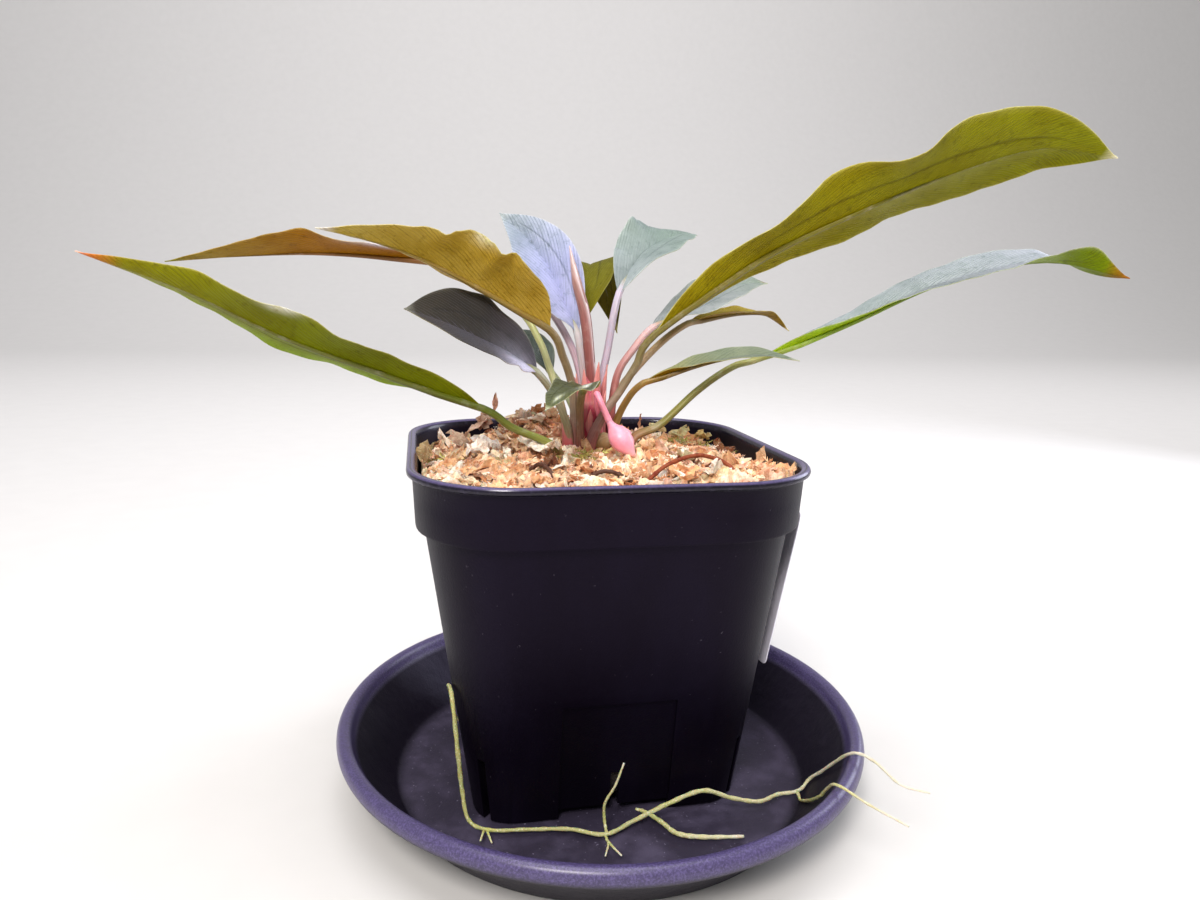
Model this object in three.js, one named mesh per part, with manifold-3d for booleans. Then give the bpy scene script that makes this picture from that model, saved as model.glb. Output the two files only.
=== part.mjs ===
// Potted homalomena: a small aroid in a black square nursery pot that stands on a round saucer.
// Millimetres, +Z up. X runs left to right and Y front to back across the pot, and the origin is
// under the middle of the pot, on the surface that the saucer stands on.
import * as THREE from "three";
import Module from "manifold-3d";

const wasm = await Module();
wasm.setup();

// Driving dimensions
const gap = 0.3;
const saucerRadius = 75.2;
const saucerHeight = 20.6;
const saucerFloor = 2.5;
const saucerShift = [2.2, -8];
const saucerSides = 56;
const potWidth = 105;
const potTop = 96.5;
const potBottom = saucerFloor + gap;
const potWall = 1.2;
const bodyTopWidth = 96.6;
const bodyBottomWidth = 73;
const stepHeight = 80.8;
const collarWidth = 102.2;
const collarStepWidth = 100.8;
const lipHeight = 2.2;
const topCornerRadius = 27;
const bottomCornerRadius = 11;
const potFloor = 6.3;
const floorThickness = 1.4;
const panelWidth = 30;
const panelTop = 37;
const panelDepth = 1;
const slitWidth = 2.4;
const mossLevel = 95.4;
const crownCentre = [-0.5, -4];
const crownRadius = 7.6;
const crownTop = 99.6;
const crownFoot = 86;
const ringRadius = 5.2;
const ringSlots = 12;
const ringStart = -95;
const stalkRadius = 1.1;
const bladeThickness = 0.8;

// Leaves. slot is the place in the ring of stalks, place a spot inside that ring, and foot the spot
// where a stalk leaves the ground on its own. stalk and rib are points along the stalk and the
// midrib, half is half the blade's greatest width and widest where along the blade that is. faces
// is the way the upper face looks, fold how far each half rises from flat in degrees, and right and
// left how far those edges wave up, all at even steps from the base to the tip.
const leaves = [
  {
    name: "leaf_left_low", foot: [-12, -12], colour: 0x98a032, half: 9.5, widest: 0.45,
    stalk: [[-13, -12, 98], [-25, -14, 104], [-33, -16, 109.5]],
    rib: [[-57, -19, 118.8], [-79, -22, 127.2], [-100, -26, 138], [-121, -28, 146]],
    faces: [[0, 0.5, 0.87], [0, 0.5, 0.87], [0, 0.3, 0.95]], fold: [12, 10, 8],
    right: [0, 0.5, -0.5, 0.5, -0.5, 0.5, 0, 0, 0],
    left: [0, 0.8, -0.3, -1.4, 0.8, -0.4, 1.8, 1, 0],
  },
  {
    name: "leaf_left_high_rear", slot: 9, colour: 0xa46a34, half: 10, widest: 0.5,
    stalk: [[-9, 0, 110], [-14, 4, 125], [-20, 8, 134], [-37, 14.5, 145.8]],
    rib: [[-57, 21, 148.4], [-78, 28, 149], [-99, 33, 147.6], [-120, 35, 145.5]],
    faces: [[0, 0.2, 1], [0, 0.15, 1], [0, 0.1, 1]], fold: [20, 15, 8],
    right: [0, 0, 0.6, -0.4, 0.4, 0, 0, 0, 0], left: [0, 0.4, -0.6, -0.8, 2.2, 1.4, 0.8, 0.4, 0],
  },
  {
    name: "leaf_left_high_front", slot: 11, colour: 0x9c8840, half: 12.5, widest: 0.26,
    stalk: [[-4.8, -10.2, 107], [-7.6, -11.6, 115], [-11, -13, 122.5], [-15.8, -14.6, 130]],
    rib: [[-32, -18.6, 139.5], [-47, -23, 146.5], [-60, -28, 150.5], [-71, -31, 152.5]],
    faces: [[-0.2, 0.35, 0.9], [0, 0.3, 0.95], [0, 0.2, 1]], fold: [28, 22, 10],
    right: [0, 0.5, 0, -0.5, 0, 0.5, 0, 0, 0], left: [0, 1.2, 0.2, 1, 0.8, 1.9, -1, 0.2, 0, 0, 0, 0, 0],
  },
  {
    name: "leaf_left_mid", slot: 10, colour: 0x7f8b86, half: 12.5, widest: 0.6,
    stalk: [[-7.2, -7.9, 106], [-12.2, -12.4, 111.5], [-19, -17, 119]],
    rib: [[-26, -19, 124], [-34, -22, 128], [-43, -26, 132], [-52, -30, 135]],
    faces: [[0, -0.6, 0.8], [0, -0.6, 0.8], [0, -0.5, 0.85]], fold: [20, 20, 10],
    right: [0, 0.5, 0.5, 0, 0.6, 0, 0, 0, 0], left: [0, -0.8, 0.6, -0.4, 0.5, 0, 0, 0, 0],
  },
  {
    name: "leaf_left_short", slot: 8, colour: 0x76857a, half: 5.2, widest: 0.5,
    stalk: [[-5.6, 1.2, 106], [-7.8, 5.4, 111.5], [-11, 9, 116]],
    rib: [[-14.4, 14, 122], [-19, 24, 126], [-26, 34, 126]],
    faces: [[0, -0.6, 0.8], [0, -0.5, 0.85], [0, 0.2, 1]], fold: [20, 15, 5],
    right: [0, 0.5, -0.5, 0.4, 0], left: [0, -0.5, 0.6, 0, 0],
  },
  {
    name: "leaf_rear_hidden", slot: 7, colour: 0x8b8f70, half: 9, widest: 0.45,
    stalk: [[-3, 4, 113], [-5, 9, 123], [-10, 16, 133]],
    rib: [[-15, 30, 140], [-21, 47, 145], [-28, 63, 147], [-36, 78, 145]],
    faces: [[0, -0.5, 0.85], [0, -0.2, 1], [0, 0.2, 1]], fold: [20, 14, 6],
    right: [0, 1, -0.8, 1, -0.6, 0.5, 0], left: [0, -0.6, 1, -0.8, 0.8, 0, 0],
  },
  {
    name: "leaf_centre_upright", place: [-2, -3], colour: 0xa39eae, half: 9.4, widest: 0.56,
    stalk: [[-3, -2, 111], [-5, 2, 128]],
    rib: [[-8, 5, 136], [-12, 8, 145.4], [-18, 11, 154], [-26, 13, 161]],
    faces: [[-0.1, -0.9, 0.3], [-0.1, -0.9, 0.3], [0, -0.85, 0.45]], fold: [30, 26, 15],
    right: [0, 0.4, -0.4, 0.5, 0, 0, 0], left: [0, -0.4, 0.5, 0, 0.3, 0, 0],
  },
  {
    name: "leaf_rear_drooping", slot: 6, colour: 0x8a8e4e, half: 9.6, widest: 0.42,
    stalk: [[0, 6, 114], [-1, 10, 132]],
    rib: [[0, 18, 142], [4, 30, 148], [11, 40, 141], [17, 47, 126]],
    faces: [[0, -0.85, 0.5], [-0.1, -0.1, 1], [0.3, 0.9, 0.3]], fold: [20, 12, 5],
    right: [0, 0.5, 0.7, 0.5, 0.3, 0.1, 0], left: [0, 0.4, 0.6, 0.4, 0.2, 0, 0],
  },
  {
    name: "leaf_front_small", slot: 0, colour: 0xa9b49c, half: 5.2, widest: 0.45,
    stalk: [[-2, -11, 108], [-4, -14, 114]],
    rib: [[-7, -20, 115.6], [-11, -27, 116.2], [-16, -34, 115], [-20, -39.5, 112.2]],
    faces: [[0, -0.2, 1], [0, -0.1, 1], [0, -0.4, 0.9]], fold: [15, 8, 4],
    right: [0, 0.8, -1.2, 1, -0.8, 0.4, 0], left: [0, -0.8, 1.2, -1, 1, 0, 0],
  },
  {
    name: "leaf_right_centre", place: [1.4, -2.8], colour: 0x99a79e, half: 10, widest: 0.4,
    stalk: [[2, 1, 114], [4, 3, 123], [7.6, 5.7, 139.4]],
    rib: [[16, 16, 150.4], [25, 26, 155.5], [34, 35, 158.5], [43, 44, 159]],
    faces: [[-0.3, -0.8, 0.6], [-0.3, -0.8, 0.6], [-0.2, -0.5, 0.8]], fold: [25, 20, 10],
    right: [0, 0.6, -1, 0.8, -0.4, 0, 0],
    left: [0, 1, 0.5, -2.2, -0.8, 2, 0.4, -2, -2.8, -2.4, -1.4, -0.4, 0],
  },
  {
    name: "leaf_right_drooping", slot: 5, colour: 0xa98a3c, half: 3.8, widest: 0.45,
    stalk: [[4.6, 2.2, 107], [11, 6, 115], [22, 11, 125], [32, 15, 131]],
    rib: [[42, 20, 133], [54, 26, 134], [65, 32, 133], [75, 37, 128]],
    faces: [[0, -0.3, 0.95], [0, -0.1, 1], [0, 0.2, 1]], fold: [25, 20, 10],
    right: [0, 0.5, -0.4, 0.4, 0], left: [0, -0.4, 0.5, 0, 0],
  },
  {
    name: "leaf_right_broad", slot: 4, colour: 0xa3a99f, half: 8.4, widest: 0.48,
    stalk: [[6, -1, 116], [11, 0, 124], [17, 2, 130]],
    rib: [[28, 8, 135], [39, 14, 139.5], [50, 20, 143], [61, 25, 143.6]],
    faces: [[-0.3, -0.6, 0.75], [-0.2, -0.6, 0.75], [0, -0.4, 0.9]], fold: [20, 15, 10],
    right: [0, 0.6, -0.8, 0.6, 0, 0, 0], left: [0, -2.4, -2.6, -1, 0.6, 0.8, 0],
  },
  {
    name: "leaf_right_low_narrow", slot: 3, colour: 0x9aa05a, half: 3.9, widest: 0.5,
    stalk: [[8, -4.5, 109.5], [13, -5, 115]],
    rib: [[23, -7, 119], [34, -9, 122], [45, -11, 123.5], [56, -13, 122]],
    faces: [[0, 0.1, 1], [0, -0.35, 0.9], [0, -0.4, 0.9]], fold: [22, 16, 12],
    right: [0, 0.4, 0, 0.4, 0, 0, 0], left: [0, 0, 0.4, 0, 0.3, 0, 0],
  },
  {
    name: "leaf_right_high", slot: 2, colour: 0xb0a344, half: 16, widest: 0.6,
    stalk: [[6, -10, 112], [10, -11, 121], [14, -12, 129]],
    rib: [[40, -16, 149], [66, -22, 162.5], [89, -27, 172.5], [110, -33, 179], [129, -38, 177]],
    faces: [[-0.1, 0.45, 0.89], [-0.1, 0.45, 0.89], [0.1, 0.4, 0.9]], fold: [18, 13, 8],
    right: [0, 1.5, -1.2, 3.2, -2.8, 2, 2.2, 0.6, 0],
    left: [0, -1.6, -3.2, -4.2, -2.6, -3.2, -3.2, -1.6, 0],
  },
  {
    name: "leaf_right_low_long", foot: [11, 1], colour: 0x9aa88c, half: 9.8, widest: 0.6,
    stalk: [[12, 1, 98], [20, 1, 102], [31, 1, 112], [41, 0, 119], [50, -1, 122]],
    rib: [[75, -5.5, 133], [100, -12, 145], [126, -19, 151], [149, -26, 147]],
    faces: [[0, 0.1, 1], [0, -0.1, 1], [0, -0.28, 0.95], [0, -0.25, 0.95], [0, 0.8, 0.6]],
    fold: [35, 12, 16],
    right: [0, 0.4, -0.4, 0, 0.4, 0, 1.8, 3, 0], left: [0, -0.8, -1.4, -0.9, -0.8, 0, 0, 0, 0],
  },
];
const crownClearance = 16;
const stalkFoot = 90;
const bladeRows = 14;
const bladeColumns = 4;

// Rolled young leaf, inflorescence, root with its branches, and dry stalks: points along each and
// the radius at even steps from its first point to its last
const rolledLeaf = {
  path: [
    [-0.5, -6.2, 90], [-0.5, -6.2, 102], [-2, -5, 116], [-3.5, -3, 132], [-6, -2, 142], [-8, 0, 152]],
  radii: [1.1, 1.1, 1.3, 1.7, 1.5, 0.5],
};
const flowerStalk = {
  path: [
    [1.7, -8.7, 90], [1.6, -8.9, 102], [1.3, -9.4, 110], [1.2, -11.4, 113], [1.5, -14, 108],
    [1.9, -15.6, 104]],
  radii: [1, 1, 0.9, 0.9, 1, 1.2],
};
const spathe = {
  path: [[1.6, -14.9, 105.2], [2.4, -16.2, 103], [4, -17.6, 100.8], [5.6, -18.9, 99.4], [7.4, -20.4, 98]],
  radii: [1.1, 2, 2.9, 2.2, 0.4],
};
const mainRoot = {
  path: [
    [-28, 0, 14], [-37, 0, 13], [-41.5, -2, 17], [-43.2, -12, 30], [-43.3, -23, 38.5], [-42.2, -30.6, 37],
    [-40.9, -33.4, 25], [-39.8, -35, 13], [-38.2, -38, 6.2], [-33, -41, 5], [-24, -41.5, 4.4],
    [-13, -43, 4.2], [-4.5, -46.5, 4.1], [4, -43, 4.6], [14, -42, 8], [23, -42, 10.5],
    [31, -42, 7.5], [39, -42, 5.5], [46, -38.5, 4.6], [52, -38, 4.6], [56.5, -36, 5.8],
    [59, -42.4, 14.4], [61.3, -49.6, 22], [65.5, -53.5, 21.3], [69, -60, 18.6], [75, -64, 18]],
  radii: [0.5, 0.5, 0.45, 0.6, 0.7, 0.55, 0.5, 0.55, 0.6, 0.65, 0.6, 0.6, 0.55, 0.5, 0.5, 0.45, 0.4],
};
const rootBranches = [
  {
    path: [
      [52, -38, 4.6], [50.5, -46, 4.8], [49.4, -54, 12.2], [49.8, -58.4, 18.6],
      [50.3, -62.5, 21.9], [55, -69.5, 20.6], [63, -74, 17]],
    radii: [0.6, 0.55, 0.5, 0.4],
  },
  {
    path: [[-4, -46, 4.2], [-4.2, -44, 7], [-4, -43.6, 11], [-1.5, -44, 16], [0.6, -44, 22]],
    radii: [0.5, 0.5, 0.5, 0.4],
  },
  { path: [[-4.5, -46.5, 4], [-4.3, -49.5, 3.6], [-6, -54, 3.5]], radii: [0.5, 0.5, 0.4] },
  { path: [[-4.5, -48, 3.8], [-3.4, -51, 3.6], [-2, -54.5, 3.5]], radii: [0.5, 0.5, 0.4] },
  { path: [[-34.5, -40, 4.9], [-35.8, -43.5, 4]], radii: [0.5, 0.4] },
  { path: [[-34, -40.5, 4.9], [-33, -44.5, 3.8]], radii: [0.5, 0.4] },
  {
    path: [
      [5, -40.6, 6.3], [7.4, -42, 6], [11, -44.5, 4.4], [14, -49, 3.8], [20, -51.5, 3.8],
      [30.5, -53, 3.7]],
    radii: [0.5, 0.6, 0.65, 0.65, 0.65, 0.55],
  },
];
const dryStalks = [
  {
    name: "dry_stalk_long", radius: 0.6, colour: 0x7a3d22,
    path: [[3, -38, 94.5], [12, -34, 98], [20, -31.5, 99], [28, -32, 98], [33.5, -35, 94.5]],
  },
  {
    name: "dry_stalk_short", radius: 0.6, colour: 0x4a3423,
    path: [[-9, -41, 95], [-5, -40, 97.4], [-1, -38, 95]],
  },
];

// Loose moss strands: how many, how far they reach and how thick they are
const strandCount = 40;
const strandReach = 7;
const strandRadius = 0.6;

const vector = (point) => new THREE.Vector3(...point);

const blend = (values, t) => {
  const at = t * (values.length - 1);
  const low = Math.min(Math.floor(at), values.length - 2);
  return THREE.MathUtils.lerp(values[low], values[low + 1], at - low);
};

const radians = THREE.MathUtils.degToRad;

// Value at a share of the way along a list of even steps, eased between neighbours
function listAt(values, share) {
  const at = share * (values.length - 1);
  const low = Math.min(Math.floor(at), values.length - 2);
  const eased = (1 - Math.cos(Math.PI * (at - low))) / 2;
  return THREE.MathUtils.lerp(values[low], values[low + 1], eased);
}

// Manifold solid from points and triangles, turned to face outwards
function solid(points, triangles) {
  const vertices = new Float32Array(points.flat());
  let volume = 0;
  for (let i = 0; i < triangles.length; i += 3) {
    const [a, b, c] = [0, 1, 2].map((k) => vector(points[triangles[i + k]]));
    volume += a.dot(b.cross(c));
  }
  const order = volume < 0 ? [...triangles].reverse() : triangles;
  const triVerts = new Uint32Array(order);
  return new wasm.Manifold(new wasm.Mesh({ numProp: 3, vertProperties: vertices, triVerts }));
}

// Solid through a row of closed rings, with a fan of triangles over each end
function loft(rings) {
  const count = rings[0].length;
  const points = rings.flat();
  const triangles = [];
  for (let i = 0; i + 1 < rings.length; i += 1) {
    for (let j = 0; j < count; j += 1) {
      const a = i * count + j;
      const b = i * count + ((j + 1) % count);
      triangles.push(a, b, b + count, a, b + count, a + count);
    }
  }
  const middle = (ring) => [0, 1, 2].map((k) => ring.reduce((sum, p) => sum + p[k], 0) / count);
  const top = (rings.length - 1) * count;
  points.push(middle(rings[0]), middle(rings[rings.length - 1]));
  for (let j = 0; j < count; j += 1) {
    const next = (j + 1) % count;
    triangles.push(points.length - 2, next, j);
    triangles.push(points.length - 1, top + j, top + next);
  }
  return solid(points, triangles);
}

// Round tube along a curve through the points, its radius read from the list at even steps
function tube(path, radii, sides, steps, extra = 0, settle = (point) => point) {
  const curve = new THREE.CatmullRomCurve3(path.map(vector), false, "catmullrom", 0.5);
  const frames = curve.computeFrenetFrames(steps, false);
  const rings = [];
  for (let i = 0; i <= steps; i += 1) {
    const t = i / steps;
    const at = t * (radii.length - 1);
    const low = Math.min(Math.floor(at), radii.length - 2);
    const radius = THREE.MathUtils.lerp(radii[low], radii[low + 1], at - low) + extra;
    const centre = settle(curve.getPointAt(t), radius - extra);
    const ring = [];
    for (let j = 0; j < sides; j += 1) {
      const angle = (2 * Math.PI * j) / sides;
      const point = centre.clone()
        .addScaledVector(frames.normals[i], radius * Math.cos(angle))
        .addScaledVector(frames.binormals[i], radius * Math.sin(angle));
      ring.push(point.toArray());
    }
    rings.push(ring);
  }
  return loft(rings);
}

// Ring of points round a square with round corners, counterclockwise
function squareRing(width, radius, z, steps = 5) {
  const reach = width / 2 - radius;
  const ring = [];
  for (let corner = 0; corner < 4; corner += 1) {
    const sx = corner === 0 || corner === 3 ? 1 : -1;
    const sy = corner < 2 ? 1 : -1;
    for (let i = 0; i <= steps; i += 1) {
      const angle = (corner + i / steps) * (Math.PI / 2);
      const [x, y] = [radius * Math.cos(angle), radius * Math.sin(angle)];
      ring.push([sx * reach + x, sy * reach + y, z]);
    }
  }
  return ring;
}

function box(low, high) {
  const rings = [low[2], high[2]].map((z) => [
    [low[0], low[1], z], [high[0], low[1], z], [high[0], high[1], z], [low[0], high[1], z]]);
  return loft(rings);
}

function turned(shape, quarter) {
  return shape.rotate([0, 0, 90 * quarter]);
}

// Width and corner radius of the pot's body at a height
const bodyShare = (z) => (z - potBottom) / (stepHeight - potBottom);
const bodyWidth = (z) => THREE.MathUtils.lerp(bodyBottomWidth, bodyTopWidth, bodyShare(z));
const bodyCorner = (z) => THREE.MathUtils.lerp(bottomCornerRadius, topCornerRadius - 2, bodyShare(z));

const group = new THREE.Group();

function add(name, shape, colour, roughness) {
  const result = shape.getMesh();
  const geometry = new THREE.BufferGeometry();
  const positions = new Float32Array(result.vertProperties);
  geometry.setAttribute("position", new THREE.BufferAttribute(positions, 3));
  geometry.setIndex(new THREE.BufferAttribute(new Uint32Array(result.triVerts), 1));
  geometry.computeVertexNormals();
  const material = new THREE.MeshStandardMaterial({ color: colour, roughness, metalness: 0 });
  const mesh = new THREE.Mesh(geometry, material);
  mesh.name = name;
  group.add(mesh);
}

// The largest of the pieces that a cut may leave
function largest(shape) {
  const pieces = shape.decompose();
  return pieces.reduce((best, piece) => (piece.volume() > best.volume() ? piece : best));
}

// Saucer's inside from its rim's outer edge to its floor, as radius and height
const saucerInside = [
  [saucerRadius, saucerHeight - 3], [saucerRadius - 0.6, saucerHeight - 1],
  [saucerRadius - 1.8, saucerHeight], [saucerRadius - 3.6, saucerHeight - 0.4],
  [saucerRadius - 4.8, saucerHeight - 2.4], [59.6, 3.7], [58.2, saucerFloor]];

// Saucer: flat floor, sloping wall and thick rolled rim
function saucer() {
  const outside = [[57.4, 0], [59.8, 0.9], [69.8, 14.6], [saucerRadius - 1.2, saucerHeight - 5]];
  const rings = [...outside, ...saucerInside].map(([radius, z]) => {
    const ring = [];
    for (let j = 0; j < saucerSides; j += 1) {
      const angle = (2 * Math.PI * j) / saucerSides;
      const [x, y] = [radius * Math.cos(angle), radius * Math.sin(angle)];
      ring.push([saucerShift[0] + x, saucerShift[1] + y, z]);
    }
    return ring;
  });
  return loft(rings);
}

// Height of the saucer's upper surface at a distance from its middle, or nothing past its rim
function saucerSurface(distance) {
  const above = saucerInside.findIndex(([radius]) => radius < distance);
  if (above === 0) {
    return 0;
  }
  if (above < 0) {
    return saucerFloor;
  }
  const [outer, inner] = [saucerInside[above - 1], saucerInside[above]];
  const share = (distance - inner[0]) / (outer[0] - inner[0]);
  return THREE.MathUtils.lerp(inner[1], outer[1], share);
}

// Lifts a point of the root so that the root lies on the saucer and not in it
function layOnSaucer(point, radius) {
  const distance = Math.hypot(point.x - saucerShift[0], point.y - saucerShift[1]);
  const clear = radius + gap;
  const highest = Math.max(...[-clear, 0, clear].map((step) => saucerSurface(distance + step)));
  return point.setZ(Math.max(point.z, highest + clear));
}

// Inside of the pot above its floor, shrunk by the given gap
function potInside(shrink) {
  const inset = 2 * (potWall + shrink);
  const base = potFloor + floorThickness + shrink;
  const hollow = loft([
    squareRing(bodyWidth(base) - inset, bodyCorner(base) - potWall - shrink, base),
    squareRing(bodyWidth(stepHeight) - inset, bodyCorner(stepHeight) - potWall - shrink, stepHeight),
    squareRing(collarStepWidth - inset, topCornerRadius - 1 - potWall - shrink, stepHeight + 1.6),
    squareRing(collarWidth - inset, topCornerRadius - 1 - potWall - shrink, potTop),
    squareRing(collarWidth - inset, topCornerRadius - 1 - potWall - shrink, potTop + 20)]);
  const parts = [0, 1, 2, 3].map((quarter) => turned(panelWedge(panelDepth + potWall + shrink,
    potWall + shrink), quarter));
  return parts.reduce((shape, wedge) => shape.subtract(wedge), hollow);
}

// Wedge over the recessed panel of the front wall: its inner face lies the given depth inside
// the wall's outer face, and its sides and top spread by the given amount
function panelWedge(depth, spread) {
  const halfWidth = panelWidth / 2 + spread;
  const rings = [-2, panelTop + spread].map((z) => {
    const inner = -(bodyWidth(z) / 2 - depth);
    return [[-halfWidth, -70, z], [halfWidth, -70, z], [halfWidth, inner, z], [-halfWidth, inner, z]];
  });
  return loft(rings);
}

// Pot: tapered body, collar, rolled lip, recessed panels, slits, feet and drain holes
function pot() {
  let shape = loft([
    squareRing(bodyBottomWidth, bottomCornerRadius, potBottom),
    squareRing(bodyTopWidth, topCornerRadius - 2, stepHeight),
    squareRing(collarStepWidth, topCornerRadius - 1, stepHeight + 0.6),
    squareRing(collarWidth, topCornerRadius - 1, potTop - lipHeight),
    squareRing(potWidth - 0.5, topCornerRadius, potTop - lipHeight + 0.3),
    squareRing(potWidth, topCornerRadius, potTop - 1.2),
    squareRing(potWidth - 0.7, topCornerRadius - 0.3, potTop - 0.3),
    squareRing(potWidth - 2.2, topCornerRadius - 1, potTop)]);
  shape = shape.subtract(potInside(0));
  const hollowFoot = loft([-1, potFloor].map((z) => (
    squareRing(bodyWidth(z) - 2 * potWall - 2 * panelDepth, bodyCorner(z) - potWall - panelDepth, z))));
  shape = shape.subtract(hollowFoot);
  for (let quarter = 0; quarter < 4; quarter += 1) {
    shape = shape.subtract(turned(panelWedge(panelDepth, 0), quarter));
    const bottomCut = box([-panelWidth / 2, -45, 0], [panelWidth / 2, -30, potFloor - 1]);
    const panelSlit = box([-slitWidth / 2, -45, 0], [slitWidth / 2, -33.5, 15.5]);
    const cornerSlit = box([-slitWidth / 2, -60, 0], [slitWidth / 2, -43, 21]).rotate([0, 0, 45]);
    [bottomCut, panelSlit, cornerSlit].forEach((cut) => {
      shape = shape.subtract(turned(cut, quarter));
    });
    const hole = loft([potFloor - 1, potFloor + 3].map((z) => squareRing(7, 3, z, 2)));
    shape = shape.subtract(turned(hole.translate([17, 17, 0]), quarter));
  }
  return largest(shape);
}

// Label: a plain slip down the right wall, whose front edge stands clear of the rounded corner
function label() {
  const front = -31;
  const back = 20;
  const section = [
    [collarStepWidth / 2 + 0.6, 82.6], [collarStepWidth / 2 + 0.7, 79.8], [bodyWidth(74) / 2 + 1.5, 74],
    [bodyWidth(60) / 2 + gap + 0.9, 60], [bodyWidth(38) / 2 + gap + 0.9, 38]];
  const rings = section.map(([x, z]) => [
    [x, front, z], [x + 0.65, front, z], [x + 0.65, back, z], [x, back, z]]);
  return loft(rings);
}

// Point in the ring of stalks, by slot
function slotPlace(slot) {
  const angle = radians(ringStart + (360 / ringSlots) * slot);
  const [x, y] = [ringRadius * Math.cos(angle), ringRadius * Math.sin(angle)];
  return [crownCentre[0] + x, crownCentre[1] + y];
}

// Foot of a leaf's stalk and the whole line from there to the blade's tip
function leafLine(leaf) {
  const place = leaf.foot || leaf.place || slotPlace(leaf.slot);
  const start = [[...place, stalkFoot]];
  if (!leaf.foot) {
    start.push([...place, stalkFoot + 11]);
  }
  const points = [...start, ...leaf.stalk, ...leaf.rib];
  return { points, bladeStart: (start.length + leaf.stalk.length - 1) / (points.length - 1) };
}

// Half width of a blade along its length, as a share of the greatest
function outline(s, widest) {
  if (s < widest) {
    return Math.sin((Math.PI / 2) * (s / widest)) ** 0.85;
  }
  return (1 - ((s - widest) / (1 - widest)) ** 1.9) ** 1.15;
}

// Grid of points over a blade, raised from its middle surface by lift, and more at the midrib
function bladeGrid(leaf, lift, ribLift) {
  const line = leafLine(leaf);
  const curve = new THREE.CatmullRomCurve3(line.points.map(vector), false, "catmullrom", 0.5);
  const rows = [];
  for (let i = 0; i <= bladeRows; i += 1) {
    const s = i / bladeRows;
    const t = line.bladeStart + (1 - line.bladeStart) * s;
    const centre = curve.getPoint(t);
    const along = curve.getTangent(t);
    const facing = new THREE.Vector3(...[0, 1, 2].map((k) => blend(leaf.faces.map((f) => f[k]), s)));
    const side = new THREE.Vector3().crossVectors(along, facing).normalize();
    const upper = new THREE.Vector3().crossVectors(side, along).normalize();
    const fold = radians(blend(leaf.fold, s));
    const half = Math.max(leaf.half * outline(s, leaf.widest), s < 0.5 ? 0.9 : 0.4);
    const row = [];
    for (let j = -bladeColumns / 2; j <= bladeColumns / 2; j += 1) {
      const v = (2 * j) / bladeColumns;
      const wave = v * v * listAt(v > 0 ? leaf.right : leaf.left, s);
      const rise = half * Math.sin(fold) * (1.25 * Math.abs(v) - 0.25 * v * v) + wave;
      const raised = lift / Math.cos(fold) + (j === 0 ? ribLift * (1 - s) : 0);
      const point = centre.clone()
        .addScaledVector(side, half * v * Math.cos(fold))
        .addScaledVector(upper, rise + raised);
      row.push(point.toArray());
    }
    rows.push(row);
  }
  return rows;
}

// Blade: two alike grids joined round their edge
function blade(leaf) {
  const upper = bladeGrid(leaf, bladeThickness / 2, 0);
  const lower = bladeGrid(leaf, -bladeThickness / 2, -0.7);
  const columns = bladeColumns + 1;
  const points = [...upper.flat(), ...lower.flat()];
  const below = columns * (bladeRows + 1);
  const triangles = [];
  for (let i = 0; i < bladeRows; i += 1) {
    for (let j = 0; j < bladeColumns; j += 1) {
      const a = i * columns + j;
      triangles.push(a, a + 1, a + columns + 1, a, a + columns + 1, a + columns);
      triangles.push(below + a, below + a + columns + 1, below + a + 1);
      triangles.push(below + a, below + a + columns, below + a + columns + 1);
    }
  }
  const edge = [];
  for (let j = 0; j < columns; j += 1) {
    edge.push(j);
  }
  for (let i = 1; i <= bladeRows; i += 1) {
    edge.push(i * columns + columns - 1);
  }
  for (let j = columns - 2; j >= 0; j -= 1) {
    edge.push(bladeRows * columns + j);
  }
  for (let i = bladeRows - 1; i > 0; i -= 1) {
    edge.push(i * columns);
  }
  edge.forEach((a, k) => {
    const b = edge[(k + 1) % edge.length];
    triangles.push(a, below + b, b, a, below + a, below + b);
  });
  return solid(points, triangles);
}

// Stalk from its foot to just inside the blade
function stalk(leaf) {
  const line = leafLine(leaf);
  const curve = new THREE.CatmullRomCurve3(line.points.map(vector), false, "catmullrom", 0.5);
  const end = line.bladeStart + (1 - line.bladeStart) * 0.06;
  const path = [];
  const steps = 9;
  for (let i = 0; i <= steps; i += 1) {
    path.push(curve.getPoint((end * i) / steps).toArray());
  }
  const thick = stalkRadius + 0.2;
  return tube(path, [stalkRadius, stalkRadius, thick, thick, stalkRadius, stalkRadius], 6, 9);
}

// Plain hole in the crown for an upright stalk
function crownHole([x, y]) {
  const radius = stalkRadius + 1.4 * gap;
  return loft([stalkFoot - gap, crownTop + 2].map((z) => {
    const ring = [];
    for (let j = 0; j < 7; j += 1) {
      const angle = (2 * Math.PI * j) / 7;
      ring.push([x + radius * Math.cos(angle), y + radius * Math.sin(angle), z]);
    }
    return ring;
  }));
}

// Plain hole in the moss for a stalk that leaves it at a slant
function mossHole(points) {
  const curve = new THREE.CatmullRomCurve3(points.map(vector), false, "catmullrom", 0.5);
  let end = 0;
  while (curve.getPoint(end).z < mossLevel + 8) {
    end += 0.005;
  }
  const path = [0, 0.25, 0.5, 0.75, 1].map((share) => curve.getPoint(end * share).toArray());
  path[0][2] -= gap;
  const radius = stalkRadius + 2 * gap;
  return tube(path, [radius, radius], 7, 5);
}

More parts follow.
